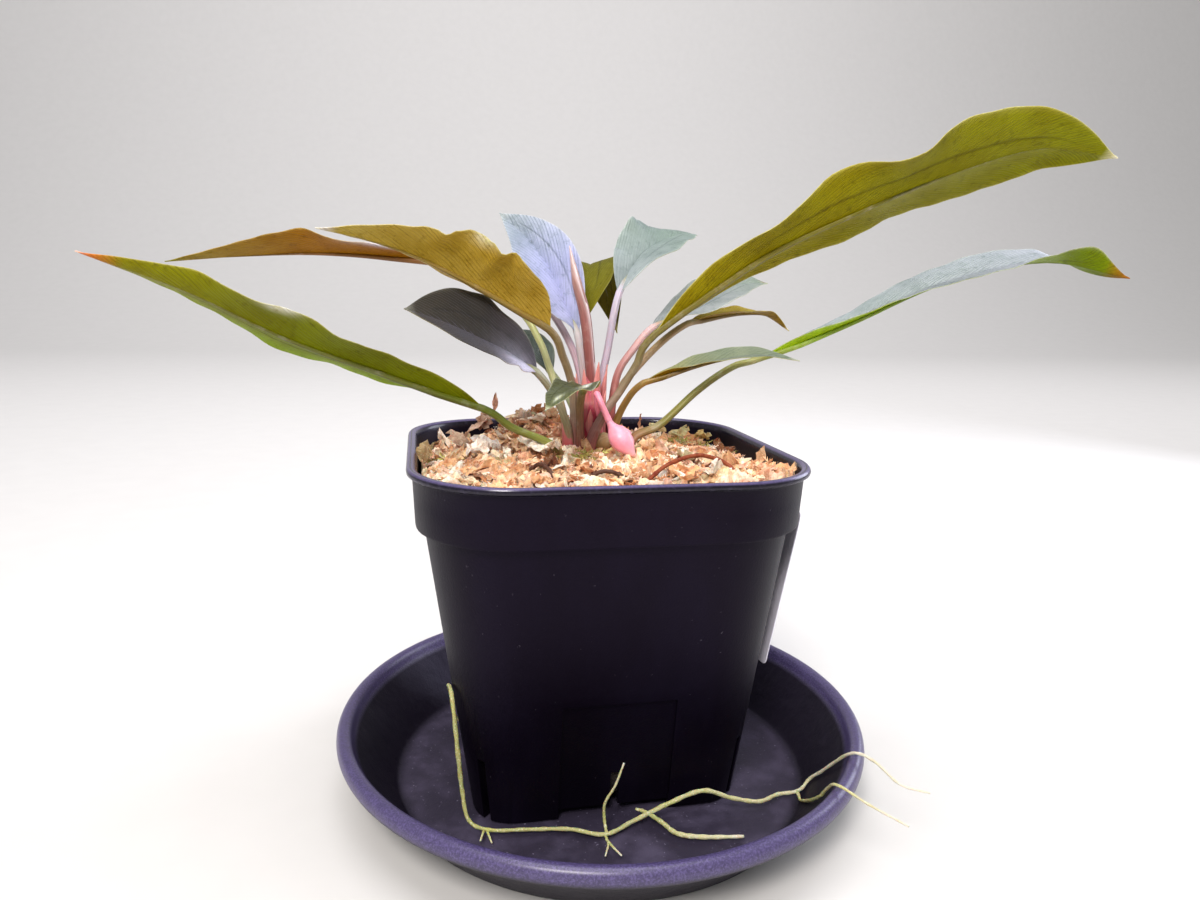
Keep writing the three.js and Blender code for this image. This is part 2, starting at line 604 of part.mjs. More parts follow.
// Crown: the short stem that holds the ring of stalks, each in a plain hole
function crown(extra) {
  const [x, y] = crownCentre;
  const levels = [
    [crownFoot, 0.6], [crownFoot + 3, 0.95], [97, 1], [98.4, 0.97], [crownTop - 0.3, 0.9],
    [crownTop, 0.6]];
  return loft(levels.map(([z, share], i) => {
    const ring = [];
    for (let j = 0; j < 18; j += 1) {
      const angle = (2 * Math.PI * j) / 18;
      const radius = crownRadius * share + extra;
      const height = z + (i < 2 ? -extra : extra);
      ring.push([x + radius * Math.cos(angle), y + radius * Math.sin(angle), height]);
    }
    return ring;
  }));
}

// Height of the moss: a mound at the back left, lower at the back right, with small tufts
function mossHeight(x, y) {
  const mound = 8.5 * Math.exp(-(((x + 18) / 15) ** 2) - (((y - 15) / 13) ** 2));
  const lowRight = 4 * THREE.MathUtils.smoothstep(x + 0.7 * y, 15, 60);
  const lowLeft = 3.6 * THREE.MathUtils.smoothstep(0.5 * y - x, 24, 56);
  const across = Math.sin(0.75 * x + 2 * Math.sin(0.31 * y));
  const tufts = 1.1 * across * Math.sin(0.7 * y + 1.7 * Math.sin(0.37 * x));
  return mossLevel + mound - lowRight - lowLeft + tufts;
}

// Moss: fills the pot, with strands standing out of its top
function moss() {
  const rings = [];
  const inside = potInside(gap);
  const width = collarWidth - 2 * (potWall + gap);
  const shares = [1, 0.93, 0.84, 0.75, 0.65, 0.55, 0.45, 0.35, 0.25, 0.15, 0.07];
  rings.push(squareRing(width + 4, topCornerRadius, 0, 9));
  shares.forEach((share) => {
    const ring = squareRing((width + 4) * share, topCornerRadius * share, 0, 9);
    rings.push(ring.map(([x, y]) => [x, y, mossHeight(x, y) - (share === 1 ? 1.5 : 0)]));
  });
  let shape = loft(rings);
  let seed = 7;
  const random = () => {
    seed = (seed * 16807) % 2147483647;
    return seed / 2147483647;
  };
  for (let i = 0; i < strandCount; i += 1) {
    const x = (random() - 0.5) * 84;
    const y = (random() - 0.5) * 84;
    const heading = random() * 2 * Math.PI;
    const reach = strandReach * (0.6 + 0.8 * random());
    const height = 1 + 2.4 * random();
    const clear = Math.hypot(x - crownCentre[0], y - crownCentre[1]) > crownClearance;
    if (clear) {
      const base = mossHeight(x, y);
      const end = [x + reach * Math.cos(heading), y + reach * Math.sin(heading)];
      const level = Math.max(base, mossHeight(...end));
      const path = [[x, y, base - 1.6], [x + 0.4 * (end[0] - x), y + 0.4 * (end[1] - y), base + height],
        [...end, level + 0.5 * height - 0.6]];
      shape = shape.add(tube(path, [strandRadius, strandRadius, 0.35], 4, 4));
    }
  }
  return shape.intersect(inside);
}

add("saucer", saucer(), 0x1b1a1f, 0.5);
const potShape = pot();
add("pot", potShape, 0x17161b, 0.45);
add("label", label(), 0xf4f2ee, 0.8);

let mossShape = moss().subtract(crown(gap));
let crownShape = crown(0);
leaves.forEach((leaf) => {
  add(leaf.name, blade(leaf).add(stalk(leaf)), leaf.colour, 0.5);
  const { points } = leafLine(leaf);
  if (leaf.foot) {
    mossShape = mossShape.subtract(mossHole(points));
  } else {
    crownShape = crownShape.subtract(crownHole(points[0]));
  }
});

add("leaf_rolled_young", tube(rolledLeaf.path, rolledLeaf.radii, 7, 14), 0xb98a86, 0.5);
const flower = tube(flowerStalk.path, flowerStalk.radii, 7, 14);
add("inflorescence", flower.add(tube(spathe.path, spathe.radii, 10, 10)), 0xe79a86, 0.45);
[rolledLeaf, flowerStalk].forEach(({ path }) => {
  crownShape = crownShape.subtract(crownHole(path[0]));
});
add("crown", largest(crownShape), 0x9c3a4a, 0.5);

function root(extra) {
  const parts = [mainRoot, ...rootBranches].map(({ path, radii }) => (
    tube(path, radii, 5, Math.max(4, 2 * path.length), extra, layOnSaucer)));
  return parts.reduce((shape, part) => shape.add(part));
}

add("root", root(0), 0xc9c77c, 0.6);
mossShape = mossShape.subtract(root(gap));
dryStalks.forEach(({ name, path, radius, colour }) => {
  add(name, tube(path, [radius, radius], 6, 8), colour, 0.8);
  mossShape = mossShape.subtract(tube(path, [radius, radius], 6, 8, gap));
});
add("moss", largest(mossShape), 0xe9d3a4, 0.95);

export default group;
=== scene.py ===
import math
import random

import bpy
import numpy as np
from mathutils import Matrix, Vector
from mathutils import noise as lumps


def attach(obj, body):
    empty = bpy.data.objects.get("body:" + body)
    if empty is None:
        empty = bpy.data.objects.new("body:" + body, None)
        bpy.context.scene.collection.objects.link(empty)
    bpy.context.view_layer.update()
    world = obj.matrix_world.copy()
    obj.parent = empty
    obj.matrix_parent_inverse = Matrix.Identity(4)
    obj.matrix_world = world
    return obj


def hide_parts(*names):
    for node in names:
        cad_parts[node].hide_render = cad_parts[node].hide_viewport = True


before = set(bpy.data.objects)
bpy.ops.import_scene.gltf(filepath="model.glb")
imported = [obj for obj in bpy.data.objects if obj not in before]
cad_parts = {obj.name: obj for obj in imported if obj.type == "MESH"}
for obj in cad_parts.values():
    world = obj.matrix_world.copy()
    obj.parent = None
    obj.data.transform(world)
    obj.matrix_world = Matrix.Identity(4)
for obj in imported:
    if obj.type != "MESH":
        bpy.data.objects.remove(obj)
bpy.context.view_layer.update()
mm = 0.001


# Camera. The photograph was taken close to the plant with a wide lens, from in front, a little
# left of the pot and just above its rim, looking slightly down.
camera_place = Vector((-48.6, -234.1, 140.4)) * mm
camera_turn = math.radians(12.17)
camera_dip = math.radians(10.78)
camera_roll = math.radians(1.35)
photo_width = 1200
photo_focal_length = 843.1
ahead = Vector((math.sin(camera_turn), math.cos(camera_turn), 0)) * math.cos(camera_dip)
ahead.z = -math.sin(camera_dip)
level = Vector((math.cos(camera_turn), -math.sin(camera_turn), 0))
upright = level.cross(ahead)
right = math.cos(camera_roll) * level + math.sin(camera_roll) * upright
up = math.cos(camera_roll) * upright - math.sin(camera_roll) * level
lens = bpy.data.cameras.new("camera")
lens.lens = lens.sensor_width * photo_focal_length / photo_width
lens.clip_start = 0.01
camera = bpy.data.objects.new("camera", lens)
bpy.context.scene.collection.objects.link(camera)
camera_axes = Matrix((right, up, -ahead)).transposed().to_4x4()
camera.matrix_world = Matrix.Translation(camera_place) @ camera_axes
bpy.context.scene.camera = camera


# Materials are node networks. A wire is one output socket of a node, and arithmetic on wires adds
# Math nodes, so that a pattern is written as an expression.
class Wire:
    """Output socket of a node, which arithmetic can be done on"""

    def __init__(self, tree, socket):
        self.tree = tree
        self.socket = socket

    @classmethod
    def node(cls, tree, kind, settings=None, sockets=None, out=0):
        """Output of a new node, once its settings, then its values and links, are made"""
        made = tree.nodes.new(kind)
        for name, value in (settings or {}).items():
            setattr(made, name, value)
        for name, value in (sockets or {}).items():
            if isinstance(value, Wire):
                tree.links.new(value.socket, made.inputs[name])
            else:
                made.inputs[name].default_value = value
        return cls(tree, made.outputs[out])

    def maths(self, operation, first, second):
        return Wire.node(self.tree, "ShaderNodeMath", {"operation": operation},
                         {0: first, 1: second})

    def __add__(self, other):
        return self.maths("ADD", self, other)

    __radd__ = __add__

    def __sub__(self, other):
        return self.maths("SUBTRACT", self, other)

    def __rsub__(self, other):
        return self.maths("SUBTRACT", other, self)

    def __mul__(self, other):
        return self.maths("MULTIPLY", self, other)

    __rmul__ = __mul__

    def __truediv__(self, other):
        return self.maths("DIVIDE", self, other)

    def __pow__(self, other):
        return self.maths("POWER", self, other)

    def above(self, low, high):
        """Nought under the low value, one over the high one and eased between"""
        return Wire.node(self.tree, "ShaderNodeMapRange", {"interpolation_type": "SMOOTHSTEP"},
                         {0: self, 1: low, 2: high})


def colour(text):
    """Scene colour of a six-figure screen colour"""
    screen = [int(text[i:i + 2], 16) / 255 for i in (1, 3, 5)]
    return tuple(c / 12.92 if c <= 0.04045 else ((c + 0.055) / 1.055) ** 2.4
                 for c in screen) + (1.0,)


def blended(tree, share, low, high, mode="MIX"):
    """Colour between two colours or wires"""
    return Wire.node(tree, "ShaderNodeMix", {"data_type": "RGBA", "blend_type": mode},
                     {0: share, 6: low, 7: high}, out=2)


def stained(tree, share, base, stain):
    """Colour multiplied by a stain where the share is high"""
    return blended(tree, share, base, blended(tree, 1.0, base, stain, "MULTIPLY"))


def noise(tree, place, size, detail=3.0, roughness=0.5):
    """Cloudy pattern whose lumps are about the given size in metres"""
    return Wire.node(tree, "ShaderNodeTexNoise", None, {
        "Vector": place, "Scale": 1 / size, "Detail": detail, "Roughness": roughness})


def bumped(tree, height, depth, under=None):
    """Surface normal raised by a pattern, on top of an earlier one if given"""
    sockets = {"Height": height, "Distance": depth, "Strength": 1.0}
    if under:
        sockets["Normal"] = under
    return Wire.node(tree, "ShaderNodeBump", None, sockets)


def new_material(name, settings):
    """Material with one Principled shader, its plain values set, and its tree and shader"""
    material = bpy.data.materials.new(name)
    material.use_nodes = True
    shader = material.node_tree.nodes["Principled BSDF"]
    for socket, value in settings.items():
        shader.inputs[socket].default_value = value
    return material, material.node_tree, shader


def feed(tree, shader, wires):
    """Links wires to the sockets of a shader"""
    for socket, wire in wires.items():
        tree.links.new(wire.socket, shader.inputs[socket])


def object_place(tree):
    """Place on the object, in metres"""
    return Wire.node(tree, "ShaderNodeTexCoord", out=3)


def point_value(tree, name):
    """Number that a mesh holds at each point"""
    return Wire.node(tree, "ShaderNodeAttribute", {"attribute_name": name}, out=2)


def point_tint(tree):
    """Colour that a mesh holds at each point"""
    return Wire.node(tree, "ShaderNodeAttribute", {"attribute_name": "tint"})


def select_only(piece):
    """Leaves one object selected and active"""
    bpy.ops.object.select_all(action="DESELECT")
    piece.select_set(True)
    bpy.context.view_layer.objects.active = piece


# Floor and light. A plain pale floor curves up into a pale wall far behind. One large soft lamp
# hangs above, a second stands high in front, a weak third at the right, and a wide fourth lights
# the wall.
floor_reach = 4.0
floor_drop = 0.1 * mm
floor_rows = 160
wall_from = 1.6
wall_bend = 1.4
surround_strength = 0.55
# Name, place, aim, width, power and tint of each lamp
lamps = [
    ("top_light", (-0.05, -0.05, 0.85), (0, 0, 0.1), 0.6, 5.0, "#fbfaff"),
    ("key_light", (-0.24, -0.55, 0.60), (0, 0, 0.1), 0.22, 6.2, "#fffaf6"),
    ("right_light", (0.62, 0.20, 0.34), (0, 0, 0.08), 0.35, 2.2, "#eef2ff"),
    ("wall_light", (0.3, 0.6, 1.9), (0.6, 3.4, 0.9), 2.4, 52, "#fbfaff"),
]
bpy.ops.object.select_all(action="DESELECT")
bpy.ops.mesh.primitive_grid_add(x_subdivisions=2, y_subdivisions=floor_rows,
                                size=2 * floor_reach, location=(0, 0, -floor_drop))
floor = bpy.context.object
floor.name = "floor"
for vertex in floor.data.vertices:
    beyond = vertex.co.y - wall_from
    if beyond > 0:
        turn = min(beyond / wall_bend, math.pi / 2)
        vertex.co.y = wall_from + wall_bend * math.sin(turn)
        vertex.co.z = wall_bend * (1 - math.cos(turn)) + max(0, beyond - wall_bend * math.pi / 2)
bpy.ops.object.shade_smooth()
floor_finish, tree, shader = new_material("pale_floor", {
    "Roughness": 0.75, "Specular IOR Level": 0.3})
grain = noise(tree, object_place(tree), 0.02, 4.0)
feed(tree, shader, {
    "Base Color": blended(tree, grain, colour("#cfcdca"), colour("#d5d3d0"))})
floor.data.materials.append(floor_finish)
for name, place, aim, width, power, tint in lamps:
    lamp = bpy.data.lights.new(name, "AREA")
    lamp.size = width
    lamp.energy = power
    lamp.color = colour(tint)[:3]
    lamp_object = bpy.data.objects.new(name, lamp)
    bpy.context.scene.collection.objects.link(lamp_object)
    lamp_object.location = place
    facing = Vector(aim) - lamp_object.location
    lamp_object.rotation_euler = facing.to_track_quat("-Z", "Y").to_euler()
surround = bpy.data.worlds.new("surround")
surround.use_nodes = True
background = surround.node_tree.nodes["Background"]
background.inputs["Color"].default_value = colour("#f0f0f2")
background.inputs["Strength"].default_value = surround_strength
bpy.context.scene.world = surround
bpy.context.scene.view_settings.view_transform = "Standard"


# Saucer: one round moulding in black polypropylene, with a flat floor, a sloping wall and a thick
# rolled rim. The rim is finely grained and carries a painted lilac highlight, and dried water has
# left faint ripples and dust inside.
saucer_centre = Vector((2.2, -8, 0)) * mm
saucer_sides = 96
saucer_foot = 56
ripple_reach = 57
ripple_fade = 6
ripple_height = 0.12
saucer_profile = [
    (58.8, 0.0), (59.8, 0.9), (69.8, 14.6), (73.4, 15.2), (74.8, 16.3), (75.2, 17.8),
    (74.9, 19.3), (74.1, 20.3), (72.9, 20.6), (71.7, 20.3), (70.9, 19.2), (70.4, 17.6),
    (69.2, 15.8), (59.8, 3.4), (59.0, 2.6), (57.6, 2.5), (50, 2.5), (38, 2.5), (25, 2.5),
    (12, 2.5)]
bpy.ops.object.select_all(action="DESELECT")
bpy.ops.mesh.primitive_circle_add(vertices=saucer_sides, radius=saucer_foot * mm,
                                  fill_type="NGON", location=saucer_centre)
saucer = bpy.context.object
saucer.name = "saucer_moulding"
bpy.ops.object.mode_set(mode="EDIT")
bpy.ops.mesh.select_all(action="SELECT")
last_radius = saucer_foot
last_height = 0
for radius, height in saucer_profile:
    bpy.ops.mesh.extrude_region_move(
        TRANSFORM_OT_translate={"value": (0, 0, (height - last_height) * mm)})
    share = radius / last_radius
    centre = saucer_centre + Vector((0, 0, height * mm))
    bpy.ops.transform.resize(value=(share, share, 1), center_override=centre)
    last_radius = radius
    last_height = height
bpy.ops.mesh.select_all(action="SELECT")
bpy.ops.mesh.normals_make_consistent(inside=False)
bpy.ops.object.mode_set(mode="OBJECT")
bpy.ops.object.transform_apply(location=True, rotation=True, scale=True)
smoothing = saucer.modifiers.new("smoothing", "SUBSURF")
smoothing.levels = 2
smoothing.render_levels = 2
bpy.ops.object.modifier_apply(modifier="smoothing")
for vertex in saucer.data.vertices:
    away = (vertex.co - saucer_centre).xy.length / mm
    on_top = vertex.co.z > 2 * mm
    if away < ripple_reach and on_top:
        x, y = vertex.co.x / mm, vertex.co.y / mm
        ripple = math.sin(0.32 * x + 1.1 * math.sin(0.11 * y)) * math.sin(0.24 * y + 0.9)
        ripple *= min(1, (ripple_reach - away) / ripple_fade)
        vertex.co.z += ripple_height * mm * ripple
bpy.ops.object.shade_smooth()
saucer_finish, tree, shader = new_material("saucer_plastic", {
    "Specular IOR Level": 0.3, "Specular Tint": colour("#cfc4ec"), "Coat Roughness": 0.34,
    "Coat Tint": colour("#cabfe8")})
place = object_place(tree)
from_centre = Wire.node(tree, "ShaderNodeVectorMath", {"operation": "SUBTRACT"},
                        {0: place, 1: (saucer_centre.x, saucer_centre.y, 0)})
flat = Wire.node(tree, "ShaderNodeVectorMath", {"operation": "MULTIPLY"},
                 {0: from_centre, 1: (1, 1, 0)})
away = Wire.node(tree, "ShaderNodeVectorMath", {"operation": "LENGTH"}, {0: flat}, out=1)
height = Wire.node(tree, "ShaderNodeSeparateXYZ", None, {0: place}, out=2)
on_floor = 1 - away.above(0.056, 0.0595)
on_rim = height.above(0.0160, 0.0180)
clouds = noise(tree, place, 0.014, 5.0, 0.6)
specks = noise(tree, place, 0.0009, 2.0, 0.7)
grain = noise(tree, place, 0.0005, 3.0, 0.7)
swirl = noise(tree, place, 0.009, 3.0, 0.5)
dust = on_floor * clouds.above(0.42, 0.72)
base = blended(tree, clouds, colour("#0d0a12"), colour("#17121f"))
base = blended(tree, 0.6 * dust + 0.35 * on_floor, base, colour("#484254"))
# The rim is painted a lighter lilac all round, broken up by its grain: a painted highlight.
painted_rim_highlight = on_rim * (0.45 + 0.55 * grain.above(0.4, 0.65))
base = blended(tree, painted_rim_highlight, base, colour("#6e6784"))
dotted = (on_floor + 0.3 * on_rim) * specks.above(0.68, 0.74) * 0.6
base = blended(tree, dotted, base, colour("#8f88a0"))
rim_grain = bumped(tree, grain * (0.2 + 0.8 * on_rim), 0.00035)
feed(tree, shader, {
    "Base Color": base,
    "Coat Weight": on_rim * 0.9,
    "Roughness": 0.42 + 0.25 * dust + 0.12 * grain,
    "Normal": bumped(tree, swirl, 0.0005, rim_grain)})
saucer.data.materials.append(saucer_finish)
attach(saucer, "root")
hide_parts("saucer")


# Pot: a thin black polypropylene nursery pot, moulded in one piece. Square and tapered with round
# corners, it has a collar band above a step, a rolled lip, a recessed panel low on each side,
# slits in the corners and panels, gaps between its feet, and drain holes.
pot_bottom = 2.8
pot_step = 80.8
pot_floor = 6.3
body_width = (73.0, 96.6)
body_corner = (11.0, 25.0)
wall = 1.2
low_wall = 2.4
panel_width = 30.0
panel_top = 37.0
panel_depth = 1.0
slit_width = 2.4
panel_slit_top = 15.5
corner_slit_top = 21
foot_gap_top = 5.3
drain_hole_width = 7
drain_hole_out = 17
drain_hole_turn = 0.8
corner_steps = 14
soft_edge = 0.3


def at_height(pair, z):
    """Value between those at the pot's bottom and at its step"""
    share = (z - pot_bottom) / (pot_step - pot_bottom)
    return pair[0] + (pair[1] - pair[0]) * share


def square_ring(width, corner, z, steps=corner_steps):
    """Points round a square with round corners"""
    reach = width / 2 - corner
    ring = []
    for quarter in range(4):
        side_x = 1 if quarter in (0, 3) else -1
        side_y = 1 if quarter < 2 else -1
        for i in range(steps + 1):
            angle = (quarter + i / steps) * math.pi / 2
            x = side_x * reach + corner * math.cos(angle)
            y = side_y * reach + corner * math.sin(angle)
            ring.append((x, y, z))
    return ring


def mesh_piece(name, points, faces):
    """Object from points in millimetres and faces"""
    mesh = bpy.data.meshes.new(name)
    mesh.from_pydata([tuple(c * mm for c in point) for point in points], [], faces)
    mesh.update()
    piece = bpy.data.objects.new(name, mesh)
    bpy.context.scene.collection.objects.link(piece)
    return piece


def lofted(name, rings):
    """Closed solid through a row of rings, flat at both ends"""
    count = len(rings[0])
    points = [point for ring in rings for point in ring]
    faces = [tuple(range(count))[::-1], tuple(range(len(points) - count, len(points)))]
    for i in range(len(rings) - 1):
        for j in range(count):
            a = i * count + j
            b = i * count + (j + 1) % count
            faces.append((a, b, b + count, a + count))
    return mesh_piece(name, points, faces)


def cut_away(piece, tool):
    """Cuts one piece with another, which is then gone"""
    cutting = piece.modifiers.new("cut", "BOOLEAN")
    cutting.operation = "DIFFERENCE"
    cutting.solver = "EXACT"
    cutting.object = tool
    bpy.context.view_layer.objects.active = piece
    bpy.ops.object.modifier_apply(modifier="cut")
    bpy.data.objects.remove(tool)


def wedge(name, depth, turn):
    """Wedge over the recessed panel of one wall"""
    half = panel_width / 2
    spin = Matrix.Rotation(turn, 3, "Z")
    rings = []
    for z in (-2, panel_top):
        inner = -(at_height(body_width, z) / 2 - depth)
        corners = [(-half, -70, z), (half, -70, z), (half, inner, z), (-half, inner, z)]
        rings.append([tuple(spin @ Vector(corner)) for corner in corners])
    return lofted(name, rings)


def block(name, width, far, near, top, turn):
    """Block up from the ground through a wall, turned about the pot's middle"""
    half = width / 2
    corners = [(-half, far), (half, far), (half, near), (-half, near)]
    spin = Matrix.Rotation(turn, 3, "Z")
    return lofted(name, [[tuple(spin @ Vector((x, y, z))) for x, y in corners] for z in (0, top)])


outer = []
for z in (pot_bottom, 3.1, 20, 40, 60, 79.9, 80.5):
    inset = 0.5 if z == pot_bottom else 0
    outer.append(square_ring(at_height(body_width, z) - inset, at_height(body_corner, z), z))
outer += [
    square_ring(98.6, 25.4, 80.9), square_ring(100.6, 26, 81.1), square_ring(100.9, 26.1, 81.7),
    square_ring(101.5, 26.1, 88), square_ring(102.1, 26.2, 94.1), square_ring(102.6, 26.3, 94.5),
    square_ring(104, 26.8, 94.6), square_ring(104.8, 27, 94.9), square_ring(105, 27, 95.5),
    square_ring(104.7, 26.9, 96), square_ring(104, 26.6, 96.4), square_ring(102.8, 26.2, 96.5),
    square_ring(101.2, 25.6, 96.3), square_ring(100.2, 25.2, 95.8), square_ring(99.7, 25, 95)]
inner = [
    square_ring(99.3, 24.8, 88), square_ring(98.4, 24.8, 82.6), square_ring(94.2, 23.8, 80.6)]
for thick, heights in ((wall, (60, 42)), (low_wall, (39, 20, pot_floor + 1.4))):
    for z in heights:
        width = at_height(body_width, z) - 2 * thick
        inner.append(square_ring(width, at_height(body_corner, z) - thick, z))
pot = lofted("pot_moulding", outer + inner)
under = [square_ring(at_height(body_width, z) - 2 * low_wall, 9, z) for z in (-1, pot_floor)]
cut_away(pot, lofted("under", under))
for quarter in range(4):
    turn = quarter * math.pi / 2
    cut_away(pot, wedge("panel", panel_depth, turn))
    cut_away(pot, block("foot_gap", panel_width, -45, -30, foot_gap_top, turn))
    cut_away(pot, block("panel_slit", slit_width, -45, -32, panel_slit_top, turn))
    corner_turn = turn + math.pi / 4
    cut_away(pot, block("corner_slit", slit_width, -60, -42, corner_slit_top, corner_turn))
    hole_x = drain_hole_out * math.cos(turn + drain_hole_turn)
    hole_y = drain_hole_out * math.sin(turn + drain_hole_turn)
    hole = [[(x + hole_x, y + hole_y, z) for x, y, _ in square_ring(drain_hole_width, 3, z, 4)]
            for z in (5, 9)]
    cut_away(pot, lofted("drain_hole", hole))
edges = pot.modifiers.new("edges", "BEVEL")
edges.width = soft_edge * mm
edges.segments = 2
edges.limit_method = "ANGLE"
edges.angle_limit = math.radians(40)
select_only(pot)
bpy.ops.object.modifier_apply(modifier="edges")
bpy.ops.object.shade_smooth_by_angle(angle=math.radians(35))
pot_finish, tree, shader = new_material("pot_plastic", {
    "Specular IOR Level": 0.2, "Specular Tint": colour("#d0c0f0"), "Coat Roughness": 0.2,
    "Coat Tint": colour("#cabfe8")})
place = object_place(tree)
height = Wire.node(tree, "ShaderNodeSeparateXYZ", None, {0: place}, out=2)
flow = Wire.node(tree, "ShaderNodeMapping", None, {"Vector": place, "Scale": (1, 1, 0.28)})
clouds = noise(tree, flow, 0.022, 5.0, 0.62)
fine = noise(tree, place, 0.0005, 2.0, 0.6)
specks = noise(tree, place, 0.0016, 3.0, 0.7)
lip = height.above(0.0941, 0.0946)
base = blended(tree, clouds.above(0.35, 0.75), colour("#050208"), colour("#0b0713"))
base = blended(tree, 0.3 * lip * specks.above(0.5, 0.7), base, colour("#4a4654"))
# A thin lilac line along the top of the rolled lip is a painted highlight.
edge = height.above(0.0958, 0.0963) * (1 - height.above(0.09644, 0.09650))
base = blended(tree, edge * (0.15 + 0.4 * fine), base, colour("#9a90b8"))
base = blended(tree, 0.55 * specks.above(0.70, 0.78), base, colour("#6a6470"))
soft = noise(tree, flow, 0.035, 2.0, 0.4)
feed(tree, shader, {
    "Base Color": base,
    "Coat Weight": lip * 0.7,
    "Roughness": 0.34 + 0.22 * clouds + 0.06 * fine,
    "Normal": bumped(tree, soft, 0.0012, bumped(tree, fine, 0.00006))})
pot.data.materials.append(pot_finish)
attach(pot, "root")
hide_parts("pot")


# Label: a plain white paper slip down the pot's right side, from the foot of the collar. It bridges
# the step, so its top stands off the wall, and its edges have started to lift.
label_ends = (-28.6, 20.0)
label_section = [
    (51.1, 82.5), (51.1, 80.8), (50.6, 77.5), (49.9, 74), (48.8, 68), (47.4, 60), (46.1, 52),
    (44.9, 45), (44.1, 40.5), (43.8, 38.2)]
paper_thickness = 0.22
paper_clearance = 0.35
edge_lift = 0.35
paper_wave = 0.12
label_columns = 12
points = []
for x, z in label_section:
    for j in range(label_columns + 1):
        share = j / label_columns
        y = label_ends[0] + (label_ends[1] - label_ends[0]) * share
        lift = edge_lift * abs(2 * share - 1) ** 6 + paper_wave * math.sin(0.11 * z + 5 * share)
        points.append((x + paper_clearance + lift, y, z))
faces = []
for i in range(len(label_section) - 1):
    for j in range(label_columns):
        a = i * (label_columns + 1) + j
        faces.append((a, a + 1, a + label_columns + 2, a + label_columns + 1))
label = mesh_piece("paper_label", points, faces)
select_only(label)
for kind, settings in (("SUBSURF", {"levels": 2, "render_levels": 2}),
                       ("SOLIDIFY", {"thickness": paper_thickness * mm, "offset": 0})):
    step = label.modifiers.new(kind, kind)
    for setting, value in settings.items():
        setattr(step, setting, value)
    bpy.ops.object.modifier_apply(modifier=kind)
bpy.ops.object.mode_set(mode="EDIT")
bpy.ops.mesh.select_all(action="SELECT")
bpy.ops.mesh.normals_make_consistent(inside=False)
bpy.ops.object.mode_set(mode="OBJECT")
bpy.ops.object.shade_smooth_by_angle(angle=math.radians(40))
label_finish, tree, shader = new_material("label_paper", {
    "Roughness": 0.72, "Specular IOR Level": 0.3})
place = object_place(tree)
fibres = noise(tree, place, 0.0007, 4.0, 0.65)
stain = noise(tree, place, 0.02, 4.0, 0.6)
feed(tree, shader, {
    "Base Color": blended(tree, stain.above(0.45, 0.8) * 0.5 + 0.15 * fibres,
                          colour("#eeebf8"), colour("#d6d0dc")),
    "Normal": bumped(tree, fibres, 0.00004)})
label.data.materials.append(label_finish)
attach(label, "root")
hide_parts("label")


# Moss: the pot is filled with dried sphagnum in place of soil. It is cream to tan with greenish
# bits, heaped at the back left and lower at the back right: a packed body under a loose cover of
# papery flakes, shreds, leafy sprigs, fibres and crumbs.
moss_level = 95.0
moss_body_bottom = 8.2
moss_gap = 0.3
ring_steps = 10
cover_cells = 216
cover_half_width = 48.7
cover_corner = 24.0
cover_underside = 82
flake_count = 460
shred_count = 700
sprig_count = 330
sprigs_per_clump = 9
fibre_count = 90
crumb_count = 700
# Each tone that the moss shows, and how often
moss_tints = [
    ("#ffe6c4", 4.5), ("#ffd2a4", 5), ("#f2b888", 4.5), ("#cf9060", 3.2), ("#7c4c2c", 1.7),
    ("#fff2e0", 3), ("#c4b88c", 0.6), ("#f8c8ac", 3)]
green_sprigs = ((32, 14), (25, 17), (38, 10), (-9, -16), (-4, -19), (-40, -2))
# Place, length, width, tint and turning angles of each large flake on top
laid_flakes = [
    ((-27.4, 8, 107.6), 5, 2.4, "#e8b49c", (20, 80, 10)),
    ((18.8, 20, 100), 4, 1.4, "#c89070", (0, 85, 0)),
    ((43.8, -37, 96.2), 14, 2.8, "#d8a878", (52, -2, 8)),
    ((42, -21, 94.6), 8, 3, "#dcb088", (10, 55, 10)),
    ((-47.6, -5, 96.6), 6, 4.5, "#9a8258", (70, 50, 20)),
    ((-46, 2, 96), 5, 4, "#8c7850", (20, 40, -20)),
    ((-17, -13, 99.2), 7, 4.5, "#fff4e4", (30, 10, 20)),
    ((-14, -16, 99), 6, 4, "#fff0da", (80, -10, 10)),
    ((-20, -9, 99.6), 6, 5, "#ffeeda", (140, 15, -10)),
    ((-31, -4, 98.6), 8, 6, "#fff4ea", (10, -20, 20)),
    ((-34, -10, 98), 9, 6, "#fff0e2", (60, 10, 15)),
    ((-38, 10, 98), 9, 6, "#b89c84", (100, 20, 10)),
    ((-33, 13, 100), 9, 6, "#c4a48c", (30, 25, -15)),
    ((-30, 16, 101), 8, 5, "#ac8c74", (70, 30, 10)),
    ((30, 14, 97.4), 6, 5, "#d4c890", (20, 20, 10)),
    ((37, 12, 96.4), 7, 5, "#c8bc80", (80, -20, 10)),
    ((24, 18, 98), 6, 4, "#dccc98", (130, 15, 20))]
random.seed(11)
lumps.seed_set(11)


